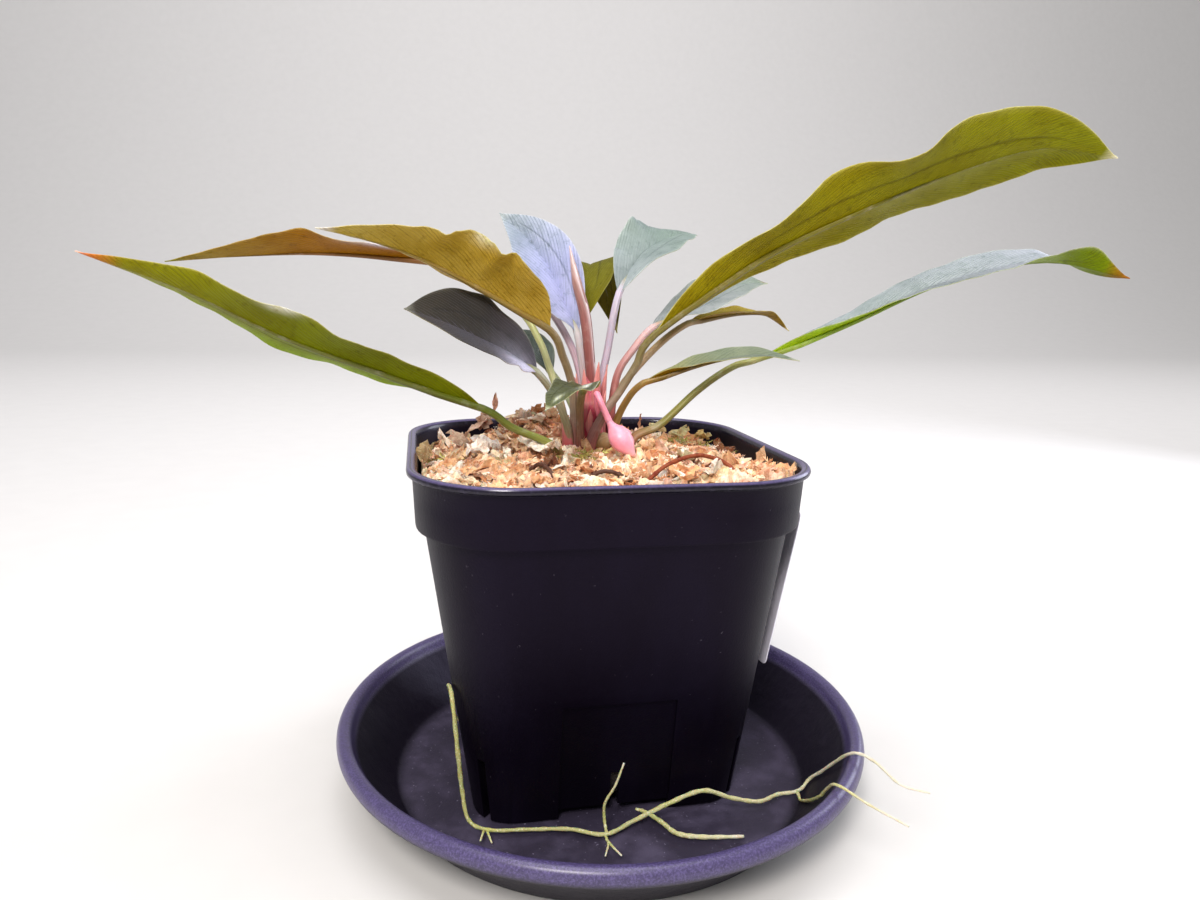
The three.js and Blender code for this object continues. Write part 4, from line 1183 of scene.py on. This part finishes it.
        faces=[(0, 0.1, 1), (0, -0.1, 1), (0, -0.28, 0.95), (0, -0.25, 0.95), (0, 0.8, 0.6)],
        fold=(35, 12, 16),
        right=[0, 0.4, -0.4, 0, 0.4, 0, 1.8, 3, 0],
        left=[0, -0.8, -1.4, -0.9, -0.8, 0, 0, 0, 0],
        upper=("#94a09c", "#98a1a3", "#a6a8b6"),
        # The bright yellow-green base of its underside is partly its own colour, partly painted
        # light where that strip lies in shade.
        lower=("#b8e424", "#86a00e", "#5e7004"),
        stalk_colours=("#84803e", "#8f9444"), tip="#9c5a1c",
        margin="#c0c8b0",
        tip_from=0.92,
    ),
]


def spline(points, share):
    """Point on the smooth line through the points, by its share of their number"""
    at = share * (len(points) - 1)
    low = min(int(at), len(points) - 2)
    w = at - low
    start, end = points[low], points[low + 1]
    before = points[low - 1] if low > 0 else 2 * start - end
    after = points[low + 2] if low + 2 < len(points) else 2 * end - start
    curve = (2 * before - 5 * start + 4 * end - after) * w * w
    curve += (3 * start - before - 3 * end + after) * w ** 3
    return 0.5 * (2 * start + (end - before) * w + curve)


def mixed(values, share):
    """Value between the three or more that are given from base to tip"""
    at = min(max(share, 0), 1) * (len(values) - 1)
    low = min(int(at), len(values) - 2)
    return values[low] + (values[low + 1] - values[low]) * (at - low)


def wave_at(values, share):
    """Wave of an edge, eased between the even steps at which it is given"""
    at = share * (len(values) - 1)
    low = min(int(at), len(values) - 2)
    weight = (1 - math.cos(math.pi * (at - low))) / 2
    return values[low] + (values[low + 1] - values[low]) * weight


def outline(s, widest):
    """Half width of a blade along its length, as a share of the greatest"""
    if s < widest:
        return math.sin(math.pi / 2 * s / widest) ** 0.85
    return max(0, 1 - ((s - widest) / (1 - widest)) ** 1.9) ** 1.15


def leaf_points(leaf):
    """Points from the foot of a leaf to its tip, and the share at which the blade begins"""
    if "foot" in leaf:
        start = [Vector((*leaf["foot"], stalk_foot))]
    else:
        if "place" in leaf:
            x, y = leaf["place"]
        else:
            angle = math.radians(ring_start + 360 / ring_slots * leaf["slot"])
            x = crown_middle.x + ring_radius * math.cos(angle)
            y = crown_middle.y + ring_radius * math.sin(angle)
        start = [Vector((x, y, z)) for z in (stalk_foot, stalk_foot + stalk_straight)]
    points = start + [Vector(p) for p in leaf["stalk"] + leaf["rib"]]
    return points, (len(start) + len(leaf["stalk"]) - 1) / (len(points) - 1)


def direction(points, share):
    """Heading of the smooth line through the points"""
    step = 0.002
    before, after = spline(points, max(0, share - step)), spline(points, min(1, share + step))
    return (after - before).normalized()


def line_frame(points, share, steady):
    """Point on the smooth line, and two directions square to it and to one another"""
    along = direction(points, share)
    side = along.cross(Vector(steady)).normalized()
    return spline(points, share), side, side.cross(along)


def leaf_frame(leaf, points, base, share):
    """Middle, and the directions along, across and up from the blade or the stalk's upper side"""
    middle = spline(points, share)
    along = direction(points, share)
    faces = [Vector(face) for face in leaf["faces"]]
    if share >= base:
        facing = mixed(faces, (share - base) / (1 - base))
    else:
        inward = (crown_middle - points[0]) * Vector((1, 1, 0))
        central = inward.length <= 0.1
        inward = faces[0] if central else Vector((0, 0, 0.4)) + inward.normalized()
        weight = min(1, max(0, share / base)) ** 2
        facing = inward * (1 - weight) + faces[0].normalized() * weight
    side = along.cross(facing).normalized()
    return middle, along, side, side.cross(along).normalized()


def add_blade(surface, leaf, points, base):
    """Both faces of the blade, joined round the edge"""
    upper_tints, lower_tints = tints(leaf["upper"]), tints(leaf["lower"])
    pale = np.array(colour(leaf.get("margin", "#cfc9a4")))
    tip_tint = np.array(colour(leaf["tip"]))
    tip_from = leaf.get("tip_from", 0.93)
    patches = [(*spot[:4], np.array(colour(spot[4]))) for spot in leaf.get("patches", [])]
    marks = [spline(points, base + (1 - base) * i / 20) for i in range(21)]
    length = sum((end - start).length for start, end in zip(marks, marks[1:]))
    sheets = []
    for lower in (False, True):
        rows = []
        for i in range(blade_rows + 1):
            s = i / blade_rows
            middle, along, side, above = leaf_frame(leaf, points, base, base + (1 - base) * s)
            fold = math.radians(mixed(leaf["fold"], s))
            half = max(leaf["half"] * outline(s, leaf["widest"]), 0.9 if s < 0.5 else 0.16)
            row = []
            for v in blade_columns:
                far = abs(v)
                wave = v * v * wave_at(leaf["right"] if v > 0 else leaf["left"], s)
                rise = half * math.sin(fold) * (1.25 * far - 0.25 * v * v) + wave
                reach = far * half
                vein = math.cos(2 * math.pi * (s * length - vein_slant * reach) / vein_spacing)
                rise += vein_depth * vein * min(1, reach / 2) * (1 - far) * 2
                ripple = v ** 6 * math.sin(s * length / 1.5 + 2.3 * v) * outline(s, 0.5)
                rise += blade_ripple * ripple
                channel = math.exp(-(reach / 0.7) ** 2) * (1 - 0.6 * s)
                half_thickness = blade_thickness / 2 * (1 - 0.55 * v ** 6)
                lift = -half_thickness if lower else half_thickness
                lift -= channel * (lower_channel if lower else upper_channel)
                place = middle + side * (half * v * math.cos(fold))
                place += above * (rise + lift / math.cos(fold))
                tint = mixed(lower_tints if lower else upper_tints, s)
                tint = tint + (pale - tint) * (0.55 * max(0, (far - 0.93) / 0.07) ** 2)
                tint = tint + (tip_tint - tint) * max(0, (s - tip_from) / (1 - tip_from)) ** 0.8
                for at_s, at_v, reach_s, reach_v, shade in patches:
                    off_middle = ((s - at_s) / reach_s) ** 2 + ((v - at_v) / reach_v) ** 2
                    weight = math.exp(-off_middle)
                    tint = tint + (shade - tint) * weight
                row.append(surface.point(place, tint, v * half, s * length, s, v))
            rows.append(row)
        sheets.append(rows)
    top, bottom = sheets
    last = len(blade_columns) - 1
    end = blade_rows
    for i in range(blade_rows):
        for j in range(last):
            surface.face((top[i][j], top[i][j + 1], top[i + 1][j + 1], top[i + 1][j]))
            surface.face(
                (bottom[i][j], bottom[i + 1][j], bottom[i + 1][j + 1], bottom[i][j + 1]), 1)
        surface.face((top[i][0], top[i + 1][0], bottom[i + 1][0], bottom[i][0]), 1)
        surface.face((top[i][last], bottom[i][last], bottom[i + 1][last], top[i + 1][last]), 1)
    for j in range(last):
        surface.face((top[0][j], bottom[0][j], bottom[0][j + 1], top[0][j + 1]), 1)
        surface.face((top[end][j], top[end][j + 1], bottom[end][j + 1], bottom[end][j]), 1)


def add_stalk(surface, leaf, points, base):
    """Stalk with its widened foot, carried on under the blade as the midrib"""
    stalk_tints = tints(("#b04a58", *leaf["stalk_colours"]))
    rib_tints = tints(leaf["lower"])
    rings = []
    for i in range(stalk_steps + 1):
        share = i / stalk_steps
        middle, along, side, above = leaf_frame(leaf, points, base, share)
        if share < base:
            up_stalk = share / base
            radius = stalk_radius * (1 - 0.12 * up_stalk)
            clasp = stalk_clasp * max(0, 1 - up_stalk / 0.5) ** 1.5
            wide, deep = radius * (1 + clasp), radius * (1 + 0.15 * clasp)
            tint = mixed(stalk_tints, up_stalk ** 0.8)
            sink = 0
        else:
            along_blade = (share - base) / (1 - base)
            radius = max(0.08, stalk_radius * 0.88 * (1 - along_blade) ** 1.3)
            wide, deep = radius, radius
            tint = mixed(rib_tints, along_blade) * np.array((0.62, 0.60, 0.55, 1))
            fresh = min(1, along_blade / 0.12)
            tint = stalk_tints[-1] * (1 - fresh) + tint * fresh
            sink = radius * 0.9 * fresh
        ring = []
        for angle in turns(stalk_sides):
            groove = 1 - 0.3 * math.exp(-((angle - math.pi / 2) / 0.6) ** 2)
            place = middle + side * (wide * math.cos(angle))
            place += above * (deep * groove * math.sin(angle) - sink)
            ring.append(surface.point(place, tint, radius * angle, share * stalk_pattern, share))
        rings.append(ring)
    surface.tube(rings, 2)


def leaf_material(name, vein_tone, mottle, crease_shade_tone, settings):
    """Skin of a leaf: slanting veins, fine cells, cloudy tone and one crease of painted shade"""
    material, tree, shader = new_material(name, settings)
    place = object_place(tree)
    across, along, share, side = [
        point_value(tree, kind) for kind in ("across", "along", "share", "side")]
    away = Wire.node(tree, "ShaderNodeMath", {"operation": "ABSOLUTE"}, {0: across})
    drift = noise(tree, place, 0.012, 2.0)
    course = along - vein_slant * away + 2.2 * drift
    vein_turn = course * (2 * math.pi / vein_spacing)
    turn = Wire.node(tree, "ShaderNodeMath", {"operation": "COSINE"}, {0: vein_turn})
    veins = (0.5 + 0.5 * turn) ** 8.0
    streak_place = Wire.node(tree, "ShaderNodeCombineXYZ", None, {
        0: course * 1.1, 1: along * 0.06, 2: side * 0.4})
    streaks = noise(tree, streak_place, 1.0, 4.0, 0.65)
    clouds = noise(tree, place, 0.009, 4.0, 0.6)
    cells = noise(tree, place, 0.0007, 3.0, 0.7)
    freckles = noise(tree, place, 0.0022, 4.0, 0.7)
    off_crease = (side - 0.5 + 0.22 * share) / 0.035
    crease = Wire.node(tree, "ShaderNodeMath", {"operation": "EXPONENT"},
                       {0: off_crease * off_crease * -1.0})
    crease = crease * share.above(0.12, 0.3) * (1 - share.above(0.75, 0.95))
    tone = stained(tree, 0.7 * clouds.above(0.35, 0.7), point_tint(tree), mottle)
    for share_here in (0.4 * streaks.above(0.45, 0.75), 0.2 * veins,
                       0.5 * freckles.above(0.52, 0.72)):
        tone = stained(tree, share_here, tone, vein_tone)
    # The crease is a bumped line, darkened as painted shade along the fold.
    tone = stained(tree, 0.5 * crease, tone, crease_shade_tone)
    relief = veins * 0.7 + streaks * 0.7 + cells * 0.5 + crease * 0.8
    feed(tree, shader, {
        "Base Color": tone,
        "Roughness": 0.36 + 0.16 * clouds + 0.12 * cells,
        "Normal": bumped(tree, relief, -0.00012)})
    return material


# The third colour of each skin is the painted shade of its crease.
leaf_upper = leaf_material("leaf_upper", *map(colour, ("#98aa9c", "#c6d0ca", "#98a49c")), {
    "Specular IOR Level": 0.5, "Sheen Weight": 0.2, "Sheen Roughness": 0.4,
    "Sheen Tint": colour("#dcdcff"), "Subsurface Weight": 0.1, "Subsurface Scale": 0.001,
    "Subsurface Radius": (0.9, 1.0, 0.8)})
leaf_lower = leaf_material("leaf_lower", *map(colour, ("#a89c58", "#e2d890", "#8c8048")), {
    "Specular IOR Level": 0.12, "Specular Tint": colour("#f4e8a8"), "Subsurface Weight": 0.15,
    "Subsurface Scale": 0.001, "Subsurface Radius": (1.0, 0.9, 0.1)})
leaf_stalk, tree, shader = new_material("leaf_stalk", {
    "Specular IOR Level": 0.5, "Subsurface Weight": 0.15, "Subsurface Scale": 0.001})
lines_place = Wire.node(tree, "ShaderNodeCombineXYZ", None, {
    0: point_value(tree, "across") * 3.0, 1: point_value(tree, "along") * 0.12, 2: 0.0})
lines = noise(tree, lines_place, 1 / 1.3)
blotch = noise(tree, object_place(tree), 0.004, 3.0, 0.6)
tone = stained(tree, 0.5 * lines.above(0.4, 0.7), point_tint(tree), colour("#b8a494"))
paler = blended(tree, 0.5, tone, colour("#f0e6dc"))
tone = blended(tree, 0.25 * blotch.above(0.5, 0.75), tone, paler)
feed(tree, shader, {
    "Base Color": tone,
    "Roughness": 0.36 + 0.2 * lines,
    "Normal": bumped(tree, lines, 0.00012)})
for leaf in leaves:
    points, base = leaf_points(leaf)
    surface = Surface()
    add_blade(surface, leaf, points, base)
    add_stalk(surface, leaf, points, base)
    top_finish = leaf_lower if leaf.get("golden") else leaf_upper
    blade = surface.piece(leaf["name"] + "_blade", [top_finish, leaf_lower, leaf_stalk])
    bpy.ops.object.shade_smooth_by_angle(angle=math.radians(60))
    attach(blade, "root")
    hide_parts(leaf["name"])


# Crown: the short stem in the middle, crimson pink, ringed where old leaves were shed. Between the
# stalks stand thin pink scale leaves that wrapped each young leaf, and a brown bud sits in front.
stem_middle = Vector((-2.4, -4.6, 0))
crown_rings = [
    (86.5, 4.6), (90, 5.0), (94, 5.0), (97, 4.7), (97.5, 4.9), (100, 4.6), (100.5, 4.8),
    (104, 4.4), (104.5, 4.6), (108, 4.0), (111, 3.3), (114, 2.4), (117, 1.2), (118, 0.4)]
crown_sides = 28
scale_steps = 14
scale_half_thickness = 0.22
bud_middle = (0.6, -8.2, 98.8)
bud_half_size = (2.9, 2.2, 2.7)
bud_steps = 12
bud_sides = 18
# Heading, distance out, top, half width and foot of each scale leaf
scale_leaves = [
    (199, 4.4, 117.5, 1.5, 94), (317, 5.0, 113, 1.7, 94), (262, 4.7, 108, 2.2, 94),
    (290, 4.4, 121, 2.0, 100), (235, 4.3, 119, 1.8, 100), (345, 4.6, 120, 2.0, 98),
    (20, 4.8, 117, 2.1, 98), (80, 4.8, 114, 2.2, 96), (140, 4.8, 116, 2.2, 96),
    (206, 8.6, 106.5, 2.4, 94), (196, 6.8, 104, 2.0, 94)]
stem = Surface()
stem_tints = tints(("#7a3a30", "#982a3c", "#a82440", "#aa2c46", "#b03c50", "#bc5a60"))
rings = []
for i, (z, radius) in enumerate(crown_rings):
    ring = []
    tint = mixed(stem_tints, i / (len(crown_rings) - 1))
    for angle in turns(crown_sides):
        far = radius * (1 + 0.05 * math.sin(3 * angle + 0.4 * z) + 0.03 * math.sin(7 * angle))
        place = stem_middle + Vector((far * math.cos(angle), far * math.sin(angle), z))
        ring.append(stem.point(place, tint, far * angle, z))
    rings.append(ring)
stem.tube(rings)
scale_across = [(k / 3, scale_half_thickness) for k in range(-3, 4)]
scale_across += [(bow, -thick) for bow, thick in reversed(scale_across)]
for heading, out, top, wide, low_end in scale_leaves:
    angle = math.radians(heading)
    outward = Vector((math.cos(angle), math.sin(angle), 0))
    across = Vector((-outward.y, outward.x, 0))
    low, high = tints(("#a02a40", "#e09890"))
    rings = []
    for i in range(scale_steps + 1):
        share = i / scale_steps
        z = low_end + (top - low_end) * share
        middle = stem_middle + outward * (out + 0.2 * out * share * share - 0.8 * share)
        middle.z = z
        half = wide * (1 - share ** 2.2) + 0.06
        ring = []
        tint = low + (high - low) * share ** 1.4
        for bow, thick in scale_across:
            place = middle + across * half * bow - outward * half * 0.55 * bow * bow
            place += outward * thick * (1 - 0.5 * share)
            ring.append(stem.point(place, tint, half * bow, z))
        rings.append(ring)
    stem.tube(rings)
bud = []
bud_tints = tints(("#8a6a44", "#a88a5c", "#c4a878"))
for i in range(bud_steps + 1):
    turn = math.pi * i / bud_steps
    ring = []
    for angle in turns(bud_sides):
        far = max(0.04, math.sin(turn)) * (1 + 0.05 * math.sin(3 * angle))
        place = Vector((far * math.cos(angle), far * math.sin(angle), -math.cos(turn)))
        place = Vector(bud_middle) + place * Vector(bud_half_size)
        ring.append(stem.point(place, mixed(bud_tints, i / bud_steps), far * angle, place.z))
    bud.append(ring)
stem.tube(bud)
crown = stem.piece("crown_stem", [leaf_stalk])
bpy.ops.object.shade_smooth_by_angle(angle=math.radians(50))
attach(crown, "root")
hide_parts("crown")


# Young leaf: still rolled into a slim pink-brown spear, with the pale edge of the blade winding up
# its right side.
spear_path = [
    (-0.5, -6.2, 90), (-0.5, -6.2, 102), (-2, -5, 116), (-3.5, -3, 132), (-6, -2, 142),
    (-8, 0, 152)]
spear_radii = (1.3, 1.5, 1.6, 1.75, 1.5, 0.12)
spear_tints = tints(("#982040", "#943444", "#84423e", "#8c544e", "#a0766e", "#d0b8b4"))
spear_edge_tint = np.array(colour("#f0e8ec"))
spear_steps = 70
spear_sides = 24
spear = Surface()
points = [Vector(p) for p in spear_path]
rings = []
for i in range(spear_steps + 1):
    share = i / spear_steps
    middle, side, above = line_frame(points, share, (0.2, -1, 0.1))
    radius = mixed(spear_radii, share)
    ring = []
    for angle in turns(spear_sides):
        wound = (angle - 0.5 - 1.2 * share) % (2 * math.pi)
        overlap = 0.28 * (1 - wound / 5.5) if wound < 5.5 else 0
        edge = math.exp(-(wound / 0.35) ** 2) if share > 0.35 else 0
        tint = mixed(spear_tints, share)
        tint = tint + (spear_edge_tint - tint) * 0.85 * edge
        far = radius * (0.82 + overlap)
        place = middle + side * far * math.cos(angle) + above * far * math.sin(angle)
        ring.append(spear.point(place, tint, radius * angle, share * stalk_pattern))
    rings.append(ring)
spear.tube(rings)
young_leaf = spear.piece("rolled_leaf", [leaf_stalk])
bpy.ops.object.shade_smooth_by_angle(angle=math.radians(50))
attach(young_leaf, "root")
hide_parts("leaf_rolled_young")


# Inflorescence: a waxy salmon-pink spathe, closed round the flowers, swollen below and drawn out to
# a point. It hangs on a curved stalk of the same pink.
flower_path = [
    (0.5, -7.4, 90), (0.2, -7.8, 100), (-0.8, -8.6, 108), (-1.6, -10.4, 112.4),
    (-0.5, -12.6, 109.4), (1.2, -14.6, 105.2)]
flower_radii = (0.9, 0.9, 0.85, 0.85, 0.85, 0.95)
spathe_path = [
    (1.1, -14.5, 105.4), (2.2, -15.8, 103.4), (3.8, -17.3, 101), (5.4, -18.8, 98.9),
    (6.9, -20.1, 97)]
spathe_radii = (0.92, 1.05, 1.5, 2.35, 2.9, 3.05, 2.9, 2.5, 1.85, 1.1, 0.4)
seam_height = 0.16
bloom_sides = 24
bloom = Surface()
bloom_tints = tints(("#c04a60", "#e87c90", "#f28ea4", "#f49aac"))
spathe_tints = tints(("#f294a8", "#f59cb0", "#f8a8bc", "#f6a2b6", "#f8bcc4"))
for path, radii, shades, steps, seam_here in (
        (flower_path, flower_radii, bloom_tints, 40, 0),
        (spathe_path, spathe_radii, spathe_tints, 36, seam_height)):
    points = [Vector(p) for p in path]
    rings = []
    for i in range(steps + 1):
        share = i / steps
        middle, side, above = line_frame(points, share, (0.1, 0.3, 1))
        radius = mixed(radii, share)
        ring = []
        for angle in turns(bloom_sides):
            wound = (angle - 1.2 - 1.2 * share) % (2 * math.pi)
            seam = seam_here * math.exp(-(wound / 0.5) ** 2)
            far = radius * (1 + seam * math.sin(math.pi * share))
            place = middle + side * far * math.cos(angle) + above * far * math.sin(angle)
            ring.append(bloom.point(place, mixed(shades, share), radius * angle, share * 30))
        rings.append(ring)
    bloom.tube(rings)
spathe_finish, tree, shader = new_material("spathe", {
    "Specular IOR Level": 0.5, "Subsurface Weight": 0.35, "Subsurface Scale": 0.003,
    "Coat Weight": 0.2, "Coat Roughness": 0.25})
place = object_place(tree)
tint = point_tint(tree)
clouds = noise(tree, place, 0.003, 3.0, 0.55)
pores = noise(tree, place, 0.00035, 2.0, 0.6)
feed(tree, shader, {
    "Base Color": blended(tree, 0.6 * clouds.above(0.4, 0.75), tint, colour("#ea8496")),
    "Roughness": 0.34 + 0.2 * pores,
    "Normal": bumped(tree, pores, 0.00005)})
flower = bloom.piece("pink_spathe", [spathe_finish])
bpy.ops.object.shade_smooth()
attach(flower, "root")
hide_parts("inflorescence")


# Root: one long root has left the pot by the slit in its left wall. It comes round the corner,
# runs over the saucer, forks, and hangs over the rim at the right. It is pale yellow green and
# finely granular.
# Line and radii of each root
root_lines = [
    ([(-28, 0, 14), (-37, 0, 13), (-40.6, -2, 17), (-41.8, -12, 28), (-42.7, -23, 36.5),
      (-42.1, -31, 38), (-40.9, -33.4, 25), (-39.8, -35, 13), (-38.2, -38, 6.2), (-33, -41, 5),
      (-24, -41.5, 4.4), (-13, -43, 4.2), (-4.5, -46.5, 4.1), (4, -43, 4.6), (14, -42, 8),
      (23, -42, 10.5),
      (31, -42, 7.5), (39, -42, 5.5), (46, -38.5, 4.6), (52, -38, 4.6), (56.5, -36, 5.8),
      (59, -42.4, 14.4), (61.3, -49.6, 22), (65.5, -53.5, 21.3), (69, -60, 18.6), (75, -64, 18)],
     (0.4, 0.4, 0.35, 0.5, 0.62, 0.5, 0.45, 0.5, 0.55, 0.62, 0.58, 0.55, 0.5, 0.45, 0.42, 0.36,
      0.26)),
    ([(52, -38, 4.6), (50.5, -46, 4.8), (49.4, -54, 12.2), (49.8, -58.4, 18.6), (50.3, -62.5, 21.9),
      (55, -69.5, 20.6), (63, -74, 17)], (0.45, 0.42, 0.36, 0.26)),
    ([(-4, -46, 4.2), (-4.2, -44, 7), (-4, -43.6, 11), (-1.5, -44, 16), (0.6, -44, 22)],
     (0.4, 0.38, 0.34, 0.25)),
    ([(-4.5, -46.5, 4), (-4.3, -49.5, 3.6), (-6, -54, 3.5)], (0.34, 0.3, 0.2)),
    ([(-4.5, -48, 3.8), (-3.4, -51, 3.6), (-2, -54.5, 3.5)], (0.34, 0.3, 0.2)),
    ([(-34.5, -40, 4.9), (-35.8, -43.5, 4)], (0.34, 0.22)),
    ([(-34, -40.5, 4.9), (-33, -44.5, 3.8)], (0.34, 0.22)),
    ([(5, -40.6, 6.3), (7.4, -42, 6), (11, -44.5, 4.4), (14, -49, 3.8), (20, -51.5, 3.8),
      (30.5, -53, 3.7)], (0.35, 0.5, 0.6, 0.62, 0.6, 0.4)),
]
saucer_inside = [
    (75.2, 17.6), (74.6, 19.6), (72.9, 20.7), (71.3, 20.2), (70.4, 18.2), (59.8, 3.5), (58.2, 2.6)]
root_gap = 0.15
root_sides = 10
root_steps_per_point = 14


def saucer_surface(away):
    """Height of the saucer's upper surface at a distance from its middle"""
    if away > saucer_inside[0][0]:
        return 0
    for (outer_far, outer_z), (inner_far, inner_z) in zip(saucer_inside, saucer_inside[1:]):
        if away >= inner_far:
            return inner_z + (outer_z - inner_z) * (away - inner_far) / (outer_far - inner_far)
    return saucer_inside[-1][1]


def add_root(surface, path, radii):
    """Round root along a line, laid on the saucer, with knobs and a granular skin"""
    points = [Vector(p) for p in path]
    steps = root_steps_per_point * len(path)
    shades = tints(("#b4b17c", "#a4a566", "#beba8e", "#dad3c4"))
    rings = []
    for i in range(steps + 1):
        share = i / steps
        middle, side, above = line_frame(points, share, (0.13, 0.21, 1))
        radius = mixed(radii, share)
        away = (middle - saucer_centre / mm).xy.length
        floor_below = max(saucer_surface(away + shift) for shift in (-radius, 0, radius))
        middle.z = max(middle.z, floor_below + radius + root_gap)
        ring = []
        for angle in turns(root_sides):
            knob = 1 + 0.10 * math.sin(0.9 * i + 2 * angle) + 0.07 * random.uniform(-1, 1)
            place = middle + (side * math.cos(angle) + above * math.sin(angle)) * radius * knob
            ring.append(surface.point(place, mixed(shades, share), radius * angle, share * 100))
        rings.append(ring)
    surface.tube(rings)


roots = Surface()
for path, radii in root_lines:
    add_root(roots, path, radii)
root_finish, tree, shader = new_material("root", {
    "Specular IOR Level": 0.35, "Subsurface Weight": 0.25, "Subsurface Scale": 0.001})
place = object_place(tree)
grains = noise(tree, place, 0.0006, 3.0, 0.7)
patches = noise(tree, place, 0.006, 3.0, 0.6)
tone = blended(tree, patches.above(0.4, 0.7) * 0.6, point_tint(tree), colour("#b5b560"))
tone = blended(tree, grains.above(0.52, 0.7) * 0.6, tone, colour("#f4f0d8"))
feed(tree, shader, {
    "Base Color": tone,
    "Roughness": 0.55 + 0.2 * grains,
    "Normal": bumped(tree, grains, 0.0003)})
root_piece = roots.piece("runaway_root", [root_finish])
bpy.ops.object.shade_smooth()
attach(root_piece, "root")
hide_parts("root")


# Dry stalks: a thin reddish-brown stem that lies bent in the moss, and two short dark bits of one,
# each with a few joints.
dry_lines = [
    ("dry_stalk_long", "#8a4426", [
        [(4, -43.6, 95.2), (8.6, -41, 98), (13.4, -39, 99.6), (18.6, -37.5, 100.3),
         (23, -37.6, 99.6), (26.6, -39.4, 97.8), (28.4, -43, 94.8)]]),
    ("dry_stalk_short", "#54382a", [
        [(-9.2, -39.6, 95.8), (-6, -40.4, 97.4), (-2.6, -41.4, 97), (0.8, -42.4, 95)],
        [(-22.6, -32.6, 96.6), (-20.4, -34.4, 98.2), (-18.6, -37, 97.4), (-17.6, -39, 95.4)]]),
]
dry_radius = 0.52
dry_joints = 5
dry_steps = 40
dry_sides = 8
dry_finish, tree, shader = new_material("dry_stalk", {"Specular IOR Level": 0.3})
bark = noise(tree, object_place(tree), 0.0015, 4.0, 0.7)
feed(tree, shader, {
    "Base Color": stained(tree, bark.above(0.4, 0.7), point_tint(tree), colour("#c07858")),
    "Roughness": 0.5 + 0.3 * bark,
    "Normal": bumped(tree, bark, 0.0003)})
for name, shade, paths in dry_lines:
    line = Surface()
    for path in paths:
        points = [Vector(p) for p in path]
        rings = []
        for i in range(dry_steps + 1):
            share = i / dry_steps
            middle, side, above = line_frame(points, share, (0.1, 0.2, 1))
            joint = 0.25 * math.exp(-(((share * dry_joints) % 1 - 0.5) / 0.06) ** 2)
            ring = []
            for angle in turns(dry_sides):
                far = dry_radius * (1 + joint + 0.08 * math.sin(3 * angle + i))
                outward = side * math.cos(angle) + above * math.sin(angle)
                ring.append(line.point(middle + outward * far, np.array(colour(shade))))
            rings.append(ring)
        line.tube(rings)
    stalk = line.piece(name + "_bark", [dry_finish])
    bpy.ops.object.shade_smooth()
    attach(stalk, "root")
    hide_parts(name)
